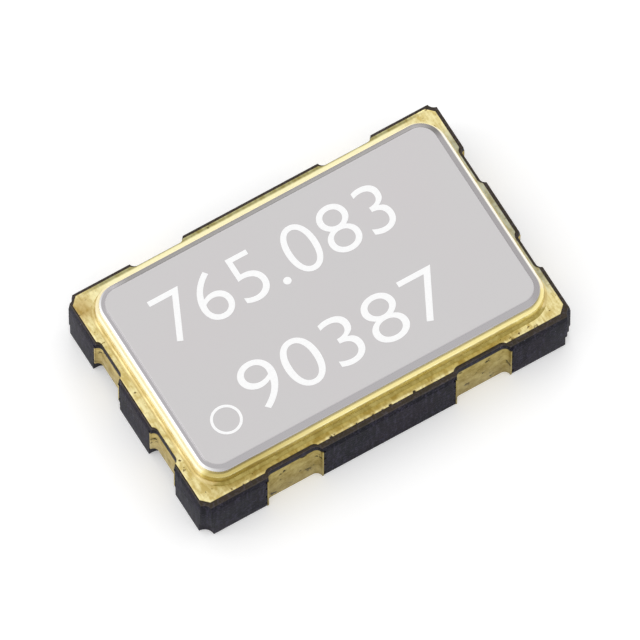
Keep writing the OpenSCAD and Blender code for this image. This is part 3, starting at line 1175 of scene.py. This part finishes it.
@dataclass(frozen=True)
class Package:
    """Sizes that the pieces share, in millimetres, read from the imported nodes."""

    length: float
    width: float
    foot_z: float
    well_z: float
    tier_z: float
    shelf_z: float
    rim_z: float
    side_slot_x: float
    end_slot: Pair
    end_slot_y: float
    plating: float
    # The part's own size: the lands are wider than their slots, so no node's box gives it
    side_slot: Pair = (0.76, 0.2)

    @classmethod
    def measure(cls) -> "Package":
        """Reads the sizes off the nodes.

        Returns:
            The package's sizes.
        """
        low, high = box_mm("ceramic_base")
        land_low, land_high = box_mm("output_terminal")
        end_low, end_high = box_mm("tuning_contact_2")
        return cls(
            length=high.x - low.x,
            width=high.y - low.y,
            foot_z=low.z,
            well_z=box_mm("chip_land")[0].z,
            tier_z=box_mm("output_track")[0].z,
            shelf_z=land_high.z,
            rim_z=high.z,
            side_slot_x=(land_low.x + land_high.x) / 2,
            end_slot=(2 * (end_high.x - end_low.x), end_high.y - end_low.y),
            end_slot_y=(end_low.y + end_high.y) / 2,
            plating=low.z - land_low.z,
        )

    def cut_slots(
        self,
        piece: Workpiece,
        grow: float,
        low_z: float,
        high_z: float,
        shift: Pair = (0.0, 0.0),
    ) -> None:
        """Cuts the eight edge slots through a piece.

        Args:
            piece: The piece.
            grow: How far the cut stands out past the slots in the tub.
            low_z: Height that the cuts start at.
            high_z: Height that they end at.
            shift: How far the cuts are off their place in the tub.
        """
        side_size = tuple(s + 2 * grow for s in self.side_slot)
        end_size = tuple(s + 2 * grow for s in self.end_slot)
        for corner in Corner:
            side_at = (corner.sx * self.side_slot_x + shift[0], corner.sy * self.width / 2 + shift[1])
            piece.join(Workpiece.obround("cutter", side_size, side_at, low_z, high_z))
            end_at = (corner.sx * self.length / 2 + shift[0], corner.sy * self.end_slot_y + shift[1])
            piece.join(Workpiece.obround("cutter", end_size, end_at, low_z, high_z))

    def cut_corners(self, piece: Workpiece, radius: float, low_z: float, high_z: float) -> None:
        """Cuts the four round corner bites through a piece.

        Args:
            piece: The piece.
            radius: Radius of the bites.
            low_z: Height that the cuts start at.
            high_z: Height that they end at.
        """
        for corner in Corner:
            at = (corner.sx * self.length / 2, corner.sy * self.width / 2)
            piece.join(Workpiece.post("cutter", radius, at, low_z, high_z))

    def slot_edges(self) -> list[Pair]:
        """Places in plan where a slot's wall meets an outer wall of the tub.

        Returns:
            Two places for each of the eight slots.
        """
        places = []
        for corner in Corner:
            for side in (-1, 1):
                along = corner.sx * self.side_slot_x + side * self.side_slot[0] / 2
                places.append((along, corner.sy * self.width / 2))
                across = corner.sy * self.end_slot_y + side * self.end_slot[1] / 2
                places.append((corner.sx * self.length / 2, across))
        return places


@dataclass
class CeramicTub:
    """The co-fired tub: its sheets, edge slots, snapped and chipped edges, and stepped cavity."""

    package: Package
    corner_r: float = 0.1
    foot_corner_r: float = 0.125
    end_foot_depth: float = 0.15
    end_foot_margin: float = 0.015
    score_lean: float = 0.02
    rim_opening: Pair = (4.03, 2.17)
    rim_opening_r: float = 0.15
    shelf_length: float = 0.75
    side_ledge: float = 0.1
    finger_tier: float = 0.38
    end_tier: float = 0.4
    edge_r: float = 0.008
    chip_seed: int = 7
    chips_per_edge: int = 4
    chip_r: Pair = (0.016, 0.036)
    chip_level: Pair = (0.35, 0.65)

    def build(self) -> None:
        """Presses the block, cuts its slots and cavity, and softens and chips its edges."""
        p = self.package
        half_l, half_w = p.length / 2, p.width / 2
        tub = Workpiece.block("tub", (-half_l, -half_w, p.foot_z), (half_l, half_w, p.shelf_z))
        tub.pick_top()
        bpy.ops.mesh.extrude_region_move(TRANSFORM_OT_translate={"value": (0, 0, p.rim_z - p.shelf_z)})
        lean = (1 - 2 * self.score_lean / p.length, 1 - 2 * self.score_lean / p.width, 1)
        bpy.ops.transform.resize(value=lean)
        tub.leave()
        bottom, top = p.foot_z - OVER, p.rim_z + OVER
        p.cut_corners(tub, self.corner_r, bottom, top)
        p.cut_corners(tub, self.foot_corner_r, bottom, p.well_z)
        p.cut_slots(tub, 0, bottom, p.shelf_z)
        p.cut_slots(tub, -p.plating, p.shelf_z - OVER, top)
        self.cut_feet(tub, bottom)
        for cutter in self.cavity():
            tub.join(cutter)
        tub.soften(self.edge_r)
        tub.join(self.chips())
        tub.finish(ALUMINA, Slot.ALUMINA, "ceramic_base")

    def cut_feet(self, tub: Workpiece, bottom: float) -> None:
        """Cuts the short-side slots deeper in the lowest sheet.

        Args:
            tub: The tub.
            bottom: Height that the cuts start at.
        """
        p = self.package
        size = (2 * self.end_foot_depth, p.end_slot[1] + 2 * self.end_foot_margin)
        for corner in Corner:
            at = (corner.sx * p.length / 2, corner.sy * p.end_slot_y)
            tub.join(Workpiece.plate("foot", size, p.end_slot[0] / 2, bottom, p.well_z - bottom, at))

    def cavity(self) -> list[Workpiece]:
        """The cutters of the stepped cavity, from the rim down.

        Returns:
            One cutter for the rim, one for the finger tier and one for the chip well.
        """
        p = self.package
        rise = p.rim_z - p.shelf_z + OVER
        tier_x = self.rim_opening[0] / 2 - self.shelf_length
        tier_y = self.rim_opening[1] / 2 - self.side_ledge
        well_x = tier_x - self.end_tier
        well_y = tier_y - self.finger_tier
        return [
            Workpiece.plate("rim opening", self.rim_opening, self.rim_opening_r, p.shelf_z, rise),
            Workpiece.block("tier", (-tier_x, -tier_y, p.tier_z), (tier_x, tier_y, p.shelf_z + OVER)),
            Workpiece.block("well", (-well_x, -well_y, p.well_z), (well_x, well_y, p.tier_z + OVER)),
        ]

    def chips(self) -> Workpiece:
        """Cutter of the small flakes that snapping broke off where slots meet the outer walls.

        Returns:
            All the flakes in one mesh. None meets another.
        """
        p = self.package
        chance = random.Random(self.chip_seed)
        pitch = (p.rim_z - p.foot_z) / self.chips_per_edge
        places = [
            (x, y, p.foot_z + pitch * (level + chance.uniform(*self.chip_level)))
            for x, y in p.slot_edges()
            for level in range(self.chips_per_edge)
        ]
        return Workpiece.flakes(places, self.chip_r, chance)


@dataclass
class Seal:
    """The gold-plated frame on the rim, the braze with its fillet, and the ring."""

    package: Package
    frame_corner: float = 0.09
    crown_w: float = 0.035
    crown_drop: float = 0.008
    crown_steps: int = 5
    ring_wall: float = 0.3
    ring_r: float = 0.325
    ring_edge_r: float = 0.04
    opening_r: float = 0.15
    nibble_pitch: float = 0.11
    nibble_r: Pair = (0.006, 0.03)
    nibble_place: Pair = (0.3, 0.7)
    nibble_seed: int = 11
    fillet_w: float = 0.04
    fillet_h: float = 0.028
    fillet_turn: float = 60.0
    fillet_lip: float = 0.002
    arc_steps: int = 8

    def build(self) -> None:
        """Builds the three pieces from the rim up."""
        self.build_frame()
        self.build_braze()
        self.build_ring()

    def opening(self, low_z: float, high_z: float) -> Workpiece:
        """Cutter of the opening inside the ring.

        Args:
            low_z: Height of its foot.
            high_z: Height of its top.

        Returns:
            The cutter.
        """
        length, width = plan_mm("seal_ring")
        size = (length - 2 * self.ring_wall, width - 2 * self.ring_wall)
        return Workpiece.plate("opening", size, self.opening_r, low_z, high_z - low_z)

    @staticmethod
    def quarter(reach: float, rise: float, steps: int) -> list[Pair]:
        """Profile of a rounded edge, from its foot inwards and up to level.

        Args:
            reach: How far in it goes.
            rise: How high it goes.
            steps: Faces across it.

        Returns:
            Distance from the edge and height at each step.
        """
        turns = [math.pi / 2 * i / steps for i in range(steps + 1)]
        return [(reach * (1 - math.cos(turn)), rise * math.sin(turn)) for turn in turns]

    def build_frame(self) -> None:
        """Prints the frame, set back from every slot and corner, with its brim rolled off as print is."""
        low, high = box_mm("seal_frame")
        middle = (low + high) / 2
        brim = high.z - self.crown_drop
        at = (middle.x, middle.y)
        size = plan_mm("seal_frame")
        piece = Workpiece.plate("frame", size, self.frame_corner, low.z, brim - low.z, at, steps=1)
        piece.pick_top()
        piece.step_in(self.quarter(self.crown_w, self.crown_drop, self.crown_steps))
        self.package.cut_slots(piece, 0, low.z - OVER, high.z + OVER, at)
        piece.join(self.opening(low.z - OVER, high.z + OVER))
        piece.join(self.nibbles(low, high))
        piece.finish(FRAME_GOLD, Slot.GOLD, "seal_frame")

    def nibbles(self, low: Vector, high: Vector) -> Workpiece:
        """Cutter that frays the front edge of the print, where the tub was snapped off the sheet.

        Args:
            low: Lowest corner of the frame.
            high: Its highest corner.

        Returns:
            The cutter. None of its lumps meets another.
        """
        chance = random.Random(self.nibble_seed)
        reach = high.x - self.ring_r
        count = round(2 * reach / self.nibble_pitch)
        places = [
            (
                -reach + self.nibble_pitch * (i + chance.uniform(*self.nibble_place)),
                low.y - chance.uniform(0.0, self.nibble_r[0]),
                high.z,
            )
            for i in range(count)
        ]
        return Workpiece.flakes(places, self.nibble_r, chance)

    def build_braze(self) -> None:
        """Lays the braze under the ring, with a hollow fillet round the ring's foot."""
        foot = box_mm("braze")[0].z
        ring_foot = box_mm("seal_ring")[0].z
        lip = self.fillet_lip
        piece = Workpiece.plate("braze_bead", plan_mm("braze"), self.ring_r + self.fillet_w, foot, lip)
        piece.pick_top()
        last = math.radians(self.fillet_turn)
        turns = [last * i / self.arc_steps for i in range(self.arc_steps + 1)]
        reach = self.fillet_w / math.sin(last)
        rise = (self.fillet_h - lip) / (1 - math.cos(last))
        piece.step_in([(reach * math.sin(turn), lip + rise * (1 - math.cos(turn))) for turn in turns])
        ring_size = plan_mm("seal_ring")
        piece.join(Workpiece.plate("ring", ring_size, self.ring_r, ring_foot, self.fillet_h + OVER))
        piece.join(self.opening(foot - OVER, ring_foot + OVER))
        piece.finish(BRAZE_GOLD, Slot.GOLD, "braze")

    def build_ring(self) -> None:
        """Stands the ring on the braze, with its upper outer edge rolled round by the weld."""
        low, high = box_mm("seal_ring")
        wall_h = high.z - low.z - self.ring_edge_r
        piece = Workpiece.plate("ring", plan_mm("seal_ring"), self.ring_r, low.z, wall_h)
        piece.pick_top()
        piece.step_in(self.quarter(self.ring_edge_r, self.ring_edge_r, self.arc_steps))
        piece.join(self.opening(low.z - OVER, high.z + OVER))
        piece.finish(RING_GOLD, Slot.GOLD, "seal_ring")


@dataclass
class Lid:
    """The thin flat lid, with the band that the seam weld pressed down round its edge."""

    corner_r: float = 0.28
    band: float = 0.08
    drop: float = 0.06
    round_w: float = 0.03
    round_h: float = 0.032
    step_w: float = 0.016
    step_h: float = 0.016
    steps: int = 6
    # Width of the painted highlight at the edge
    highlight_w: float = 0.023

    def build(self) -> None:
        """Stamps the lid, raises its middle over the welded band, and marks how far in each face lies."""
        low, high = box_mm("lid")
        brim = high.z - self.drop
        piece = Workpiece.plate("lid_sheet", plan_mm("lid"), self.corner_r, low.z, brim - low.z)
        piece.pick_top()
        piece.step_in(self.profile())
        self.mark_reach(piece, high)
        piece.finish(LID_NICKEL, Slot.LID, "lid")

    def profile(self) -> list[Pair]:
        """Section of the band: round at the edge, nearly level in the middle, and up a step to the flat.

        Returns:
            Distance from the edge and height at each step.
        """
        shares = [i / self.steps for i in range(self.steps + 1)]
        turns = [math.pi / 2 * share for share in shares]
        edge = [(self.round_w * (1 - math.cos(t)), self.round_h * math.sin(t)) for t in turns]
        foot = self.band - self.step_w
        low = self.drop - self.step_h
        rise = [(foot + self.step_w * s, low + self.step_h * (3 * s**2 - 2 * s**3)) for s in shares]
        return [*edge, *rise, (self.band + self.step_w / 4, self.drop)]

    def mark_reach(self, piece: Workpiece, high: Vector) -> None:
        """Stores for the finish how far in from the edge each point is, and how much painted highlight it
        gets.

        The painted highlight is full along the left end's outermost edge, and fades round its corners.

        Args:
            piece: The lid.
            high: Its highest corner.
        """
        mesh = piece.obj.data
        mesh.attributes.new("from_edge", "FLOAT", "POINT")
        mesh.attributes.new("painted_edge_highlight", "FLOAT", "POINT")
        reach, highlight_share = (mesh.attributes[name].data for name in ("from_edge", "painted_edge_highlight"))
        for i, point in enumerate(mesh.vertices):
            x = abs(point.co.x) - (high.x - self.corner_r)
            y = abs(point.co.y) - (high.y - self.corner_r)
            inside = min(max(x, y), 0.0)
            reach[i].value = self.corner_r - math.hypot(max(x, 0), max(y, 0)) - inside
            # Painted highlight: full on the left end, fading round its corners
            if reach[i].value < self.highlight_w and point.co.x < 0 < x:
                highlight_share[i].value = (x / math.hypot(x, max(y, 0))) ** 2


@dataclass
class Marking:
    """Plain digits and a ring for the first terminal, printed on the lid in white ink."""

    upper: str = "765.083"
    lower: str = "90387"
    upper_span: Pair = (-1.77, 1.29)
    lower_span: Pair = (-1.38, 1.30)
    upper_base: float = 0.30
    lower_base: float = -0.96
    cap_height: float = 0.65
    bolder: float = -0.01
    ring_at: Pair = (-1.74, -0.82)
    ring_r: float = 0.19
    stroke: float = 0.034
    ink: float = 0.002

    def build(self) -> None:
        """Prints both lines and the ring."""
        self.print_line("marking_upper", self.upper, self.upper_span, self.upper_base)
        self.print_line("marking_lower", self.lower, self.lower_span, self.lower_base)
        self.print_ring()

    @property
    def top(self) -> float:
        """Height of the lid's face."""
        return box_mm("lid")[1].z

    def print_line(self, name: str, digits: str, span: Pair, base: float) -> None:
        """Prints one line of digits.

        Args:
            name: Name of the piece.
            digits: What it says.
            span: Where it starts and ends along x.
            base: Where its digits stand in y.
        """
        Workpiece.clear_bench()
        bpy.ops.object.text_add()
        text = bpy.context.object.data
        text.body = digits
        text.offset = self.bolder
        text.extrude = self.ink / 2
        bpy.ops.object.convert(target="MESH")
        piece = Workpiece(name)
        points = piece.obj.data.vertices
        low = Vector([min(p.co[i] for p in points) for i in range(3)])
        high = Vector([max(p.co[i] for p in points) for i in range(3)])
        grow = ((span[1] - span[0]) / (high.x - low.x), self.cap_height / (high.y - low.y))
        piece.obj.scale = (grow[0], grow[1], 1)
        piece.obj.location = (span[0] - low.x * grow[0], base - low.y * grow[1], self.top + self.ink / 2)
        piece.settle()
        piece.weld()
        piece.finish(MARKING_INK, None)

    def print_ring(self) -> None:
        """Prints the ring."""
        low, high = self.top, self.top + self.ink
        hole_r = self.ring_r - self.stroke
        piece = Workpiece.post("marking_ring", self.ring_r, self.ring_at, low, high)
        piece.join(Workpiece.post("hole", hole_r, self.ring_at, low - self.ink, high + self.ink))
        piece.finish(MARKING_INK, None)


@dataclass
class SlotPlating:
    """Four like pieces of plating in the tub's slots, each modelled from the one at the back right."""

    package: Package
    edge_r: float = 0.004

    def build(self) -> None:
        """Plates one slot, copies it to the others, trims what differs and dresses each piece."""
        pattern = self.plate_one()
        for name, (turn, shift) in self.places().items():
            piece = pattern.twin(name.removesuffix("_terminal") + "_plating", turn, shift)
            self.trim(piece, name)
            piece.soften(self.edge_r)
            piece.finish(SLOT_GOLD, Slot.TERMINAL, name)
        bpy.data.objects.remove(pattern.obj)

    def plate_one(self) -> Workpiece:
        """Models the piece at the back right. Each set has its own."""
        raise NotImplementedError

    def places(self) -> dict[str, tuple[float, Pair]]:
        """Turn and shift that bring a copy to each node. Each set has its own."""
        raise NotImplementedError

    def trim(self, piece: Workpiece, name: str) -> None:
        """Cuts what only one of the four has. A set whose four are alike leaves it as it is here."""


@dataclass
class Terminals(SlotPlating):
    """The four solder terminals: slot lining and land, each one piece of plating."""

    index: float = 0.22
    land_gap: float = 0.04

    def places(self) -> dict[str, tuple[float, Pair]]:
        """Turn and shift that bring a copy to each terminal.

        Returns:
            Degrees about z, and distance in x and y, for each node.
        """
        pitch = 2 * self.package.side_slot_x
        return {
            "enable_terminal": (180, (0, 0)),
            "ground_terminal": (180, (pitch, 0)),
            "output_terminal": (0, (0, 0)),
            "supply_terminal": (0, (-pitch, 0)),
        }

    def plate_one(self) -> Workpiece:
        """Models the terminal at the back right.

        Returns:
            The terminal, still with sharp edges.
        """
        p = self.package
        at = (p.side_slot_x, p.width / 2)
        land_low, land_high = box_mm("output_terminal")
        lining = Workpiece.obround("lining", p.side_slot, at, 0, p.shelf_z)
        near = (at[0] - p.side_slot[0], at[1], -OVER)
        far = (at[0] + p.side_slot[0], at[1] + OUTSIDE, p.rim_z)
        lining.join(Workpiece.block("outside", near, far))
        land = Workpiece.block("land", land_low, (land_high.x, land_high.y - self.land_gap, p.plating))
        lining.join(land, Join.ADD)
        hollow = tuple(s - 2 * p.plating for s in p.side_slot)
        lining.join(Workpiece.obround("hollow", hollow, at, -OVER, p.rim_z))
        return lining

    def trim(self, piece: Workpiece, name: str) -> None:
        """Cuts the corner that marks the first land, at the land's inner end.

        Args:
            piece: A terminal, in its place.
            name: The node that it stands for.
        """
        if name != "enable_terminal":
            return
        low, high = box_mm(name)
        reach, top = self.index, self.package.plating + OVER
        corner = Workpiece.block("corner", (-reach, -reach, -OVER), (reach, reach, top))
        # Turned by 45 degrees and drawn in, the block reaches just that far along each edge
        corner.obj.rotation_euler = (0, 0, math.radians(45))
        corner.obj.scale = (math.sqrt(0.5), math.sqrt(0.5), 1)
        corner.obj.location = (low.x, high.y, 0)
        piece.join(corner)


@dataclass
class EndContacts(SlotPlating):
    """The four contacts in the short sides, above the lowest sheet."""

    def places(self) -> dict[str, tuple[float, Pair]]:
        """Turn and shift that bring a copy to each contact.

        Returns:
            Degrees about z, and distance in x and y, for each node.
        """
        pitch = 2 * self.package.end_slot_y
        return {
            "crystal_test_1": (180, (0, 0)),
            "crystal_test_2": (180, (0, pitch)),
            "tuning_contact_1": (0, (0, -pitch)),
            "tuning_contact_2": (0, (0, 0)),
        }

    def plate_one(self) -> Workpiece:
        """Models the contact at the back right.

        Returns:
            The contact, still with sharp edges.
        """
        p = self.package
        at = (p.length / 2, p.end_slot_y)
        low, high = box_mm("tuning_contact_2")
        lining = Workpiece.obround("lining", p.end_slot, at, low.z, high.z)
        near = (at[0], low.y - OUTSIDE, low.z - OUTSIDE)
        far = (at[0] + OUTSIDE, high.y + OUTSIDE, high.z + OUTSIDE)
        lining.join(Workpiece.block("outside", near, far))
        hollow = tuple(s - 2 * p.plating for s in p.end_slot)
        lining.join(Workpiece.obround("hollow", hollow, at, low.z - OVER, high.z + OVER))
        return lining


@dataclass
class InnerParts:
    """The sealed-in pieces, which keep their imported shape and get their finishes."""

    # The first start that fits a name is taken, so the longer names come before chip
    finishes: tuple[tuple[str, Finish], ...] = (
        ("quartz_blank", QUARTZ),
        ("upper_electrode", SILVER_FILM),
        ("lower_electrode", SILVER_FILM),
        ("adhesive_dot", SILVER_ADHESIVE),
        ("crystal_pad", PRINTED_GOLD),
        ("crystal_rest", TUNGSTEN),
        ("chip_contacts", ALUMINIUM),
        ("chip_adhesive", CHIP_ADHESIVE),
        ("chip_land", PRINTED_GOLD),
        ("chip", SILICON),
        ("bond_wires", GOLD_WIRE),
    )

    def dress(self) -> None:
        """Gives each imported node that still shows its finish."""
        for name, node in sorted(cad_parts.items()):
            if node.hide_render:
                continue
            finish = self.finish_of(name)
            node.data.materials.clear()
            node.data.materials.append(finish.make())
            log.info("%s: %s", name, finish.name)

    def finish_of(self, name: str) -> Finish:
        """Finds a node's finish by the start of its name, or by what kind of conductor it is.

        Args:
            name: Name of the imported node.

        Returns:
            Its finish.
        """
        for start, finish in self.finishes:
            if name.startswith(start):
                return finish
        return TUNGSTEN if "via" in name else PRINTED_GOLD


@dataclass
class Studio:
    """Pale floor, soft light and the camera that the photograph was taken with."""

    azimuth: float = -30.73
    elevation: float = 64.74
    distance_mm: float = 276.0
    pixels_per_mm: float = 85.97
    frame_px: int = 640
    origin_px: Pair = (319.53, 332.83)
    sensor_mm: float = 36.0
    clip_m: Pair = (0.001, 10.0)
    floor_mm: float = 400.0
    floor_gap_mm: float = 0.002
    paper: str = "#f4f4f4"
    paper_glow: str = "#8d8d8d"
    # Paper's single fibres are too fine to show, so the flocks that they lie in are drawn
    fibre_mm: float = 0.3
    fibre_relief: float = 0.05
    fibre_relief_mm: float = 0.01
    ambient: float = 0.9
    lamp_away_mm: float = 130.0

    def build(self) -> None:
        """Sets up the floor, the world, the lamps and the camera."""
        self.lay_floor()
        self.light_world()
        self.hang_lamp("key", azimuth=-108, elevation=34, size=60, power=0.017)
        self.hang_lamp("back", azimuth=152, elevation=27, size=60, power=0.012)
        self.place_camera()
        bpy.context.scene.view_settings.view_transform = "Standard"

    def toward(self, azimuth: float, elevation: float) -> Vector:
        """Direction from the package towards a point seen at an azimuth and elevation."""
        a, e = math.radians(azimuth), math.radians(elevation)
        return Vector((math.sin(a) * math.cos(e), -math.cos(a) * math.cos(e), math.sin(e)))

    def shown_rays(self, tree: bpy.types.NodeTree) -> bpy.types.NodeSocket:
        """Says which rays see the white surround: those of the camera, of gloss and through glass.

        Args:
            tree: Tree of the material or world.

        Returns:
            A socket that is 1 on those rays and 0 on the others.
        """
        path = add_node(tree, Kind.LIGHT_PATH)
        direct = add_node(
            tree,
            Kind.MATH,
            {0: path.outputs["Is Camera Ray"], 1: path.outputs["Is Glossy Ray"]},
            operation="MAXIMUM",
        )
        shown = add_node(
            tree,
            Kind.MATH,
            {0: direct.outputs[0], 1: path.outputs["Is Transmission Ray"]},
            operation="MAXIMUM",
        )
        return shown.outputs[0]

    def lay_floor(self) -> None:
        """Lays the white paper that the package lies on. It isn't seen from below.

        To the eye it is matt and white. It glows a little, but only for the camera, gloss and
        glass, so that the background is white while the package's shadow stays.
        """
        Workpiece.clear_bench()
        at = (0, 0, -self.floor_gap_mm * MM)
        bpy.ops.mesh.primitive_plane_add(size=self.floor_mm * MM, location=at)
        floor = bpy.context.object
        floor.name = "floor"
        material = bpy.data.materials.new("white studio paper")
        material.use_nodes = True
        tree = material.node_tree
        tree.nodes.clear()
        place = add_node(tree, Kind.PLACE).outputs["Object"]
        fibre = add_node(tree, Kind.NOISE, {"Vector": place, "Scale": per_mm(self.fibre_mm)})
        bump = add_node(
            tree,
            Kind.BUMP,
            {
                "Height": fibre.outputs[0],
                "Strength": self.fibre_relief,
                "Distance": self.fibre_relief_mm * MM,
            },
        )
        paper = add_node(tree, Kind.DIFFUSE, {"Color": rgb(self.paper), "Normal": bump.outputs[0]})
        glow = {"Strength": self.shown_rays(tree), "Color": rgb(self.paper_glow)}
        lift = add_node(tree, Kind.EMISSION, glow)
        lit = add_node(tree, Kind.ADD_SHADER, {0: paper.outputs[0], 1: lift.outputs[0]})
        seen = add_node(tree, Kind.GEOMETRY)
        clear = add_node(tree, Kind.TRANSPARENT)
        both = add_node(
            tree,
            Kind.MIX_SHADER,
            {0: seen.outputs["Backfacing"], 1: lit.outputs[0], 2: clear.outputs[0]},
        )
        add_node(tree, Kind.MATERIAL_OUTPUT, {"Surface": both.outputs[0]})
        floor.data.materials.append(material)

    def light_world(self) -> None:
        """Lights the scene evenly, and shows the camera and every reflection a white surround."""
        world = bpy.data.worlds.new("white studio")
        bpy.context.scene.world = world
        world.use_nodes = True
        tree = world.node_tree
        tree.nodes.clear()
        level = add_node(
            tree,
            Kind.RANGE,
            {"Value": self.shown_rays(tree), "To Min": self.ambient, "To Max": 1.0},
        )
        white = add_node(tree, Kind.BACKGROUND, {"Color": rgb("#ffffff"), "Strength": level.outputs[0]})
        add_node(tree, Kind.WORLD_OUTPUT, {"Surface": white.outputs[0]})

    def hang_lamp(self, name: str, azimuth: float, elevation: float, size: float, power: float) -> None:
        """Hangs a square soft lamp that faces the package.

        Args:
            name: Name of the lamp.
            azimuth: Where it hangs, round the package.
            elevation: Where it hangs, above the floor.
            size: Length of its side in millimetres.
            power: Watts.
        """
        Workpiece.clear_bench()
        away = self.toward(azimuth, elevation)
        bpy.ops.object.light_add(type="AREA", location=away * self.lamp_away_mm * MM)
        lamp = bpy.context.object
        lamp.name = name
        lamp.data.size = size * MM
        lamp.data.energy = power
        lamp.rotation_euler = away.to_track_quat("Z", "Y").to_euler()

    def place_camera(self) -> None:
        """Places the camera where the photograph's outline says it stood."""
        back = self.toward(self.azimuth, self.elevation)
        turn = back.to_track_quat("Z", "Y")
        right, up = turn @ Vector((1, 0, 0)), turn @ Vector((0, 1, 0))
        middle = self.frame_px / 2
        aim = right * (middle - self.origin_px[0]) + up * (self.origin_px[1] - middle)
        aim /= self.pixels_per_mm
        Workpiece.clear_bench()
        bpy.ops.object.camera_add(location=(aim + back * self.distance_mm) * MM)
        camera = bpy.context.object
        camera.rotation_euler = turn.to_euler()
        camera.data.sensor_width = self.sensor_mm
        camera.data.lens = self.sensor_mm * self.pixels_per_mm * self.distance_mm / self.frame_px
        camera.data.clip_start, camera.data.clip_end = self.clip_m
        bpy.context.scene.camera = camera


def save_sizes() -> None:
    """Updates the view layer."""
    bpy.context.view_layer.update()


def main() -> None:
    """Builds every piece in order, from the tub up."""
    logging.basicConfig(level=logging.INFO, format="%(message)s")
    package = Package.measure()
    CeramicTub(package).build()
    Seal(package).build()
    Lid().build()
    Marking().build()
    Terminals(package).build()
    EndContacts(package).build()
    InnerParts().dress()
    Studio().build()
    save_sizes()


if __name__ == "__main__":
    main()
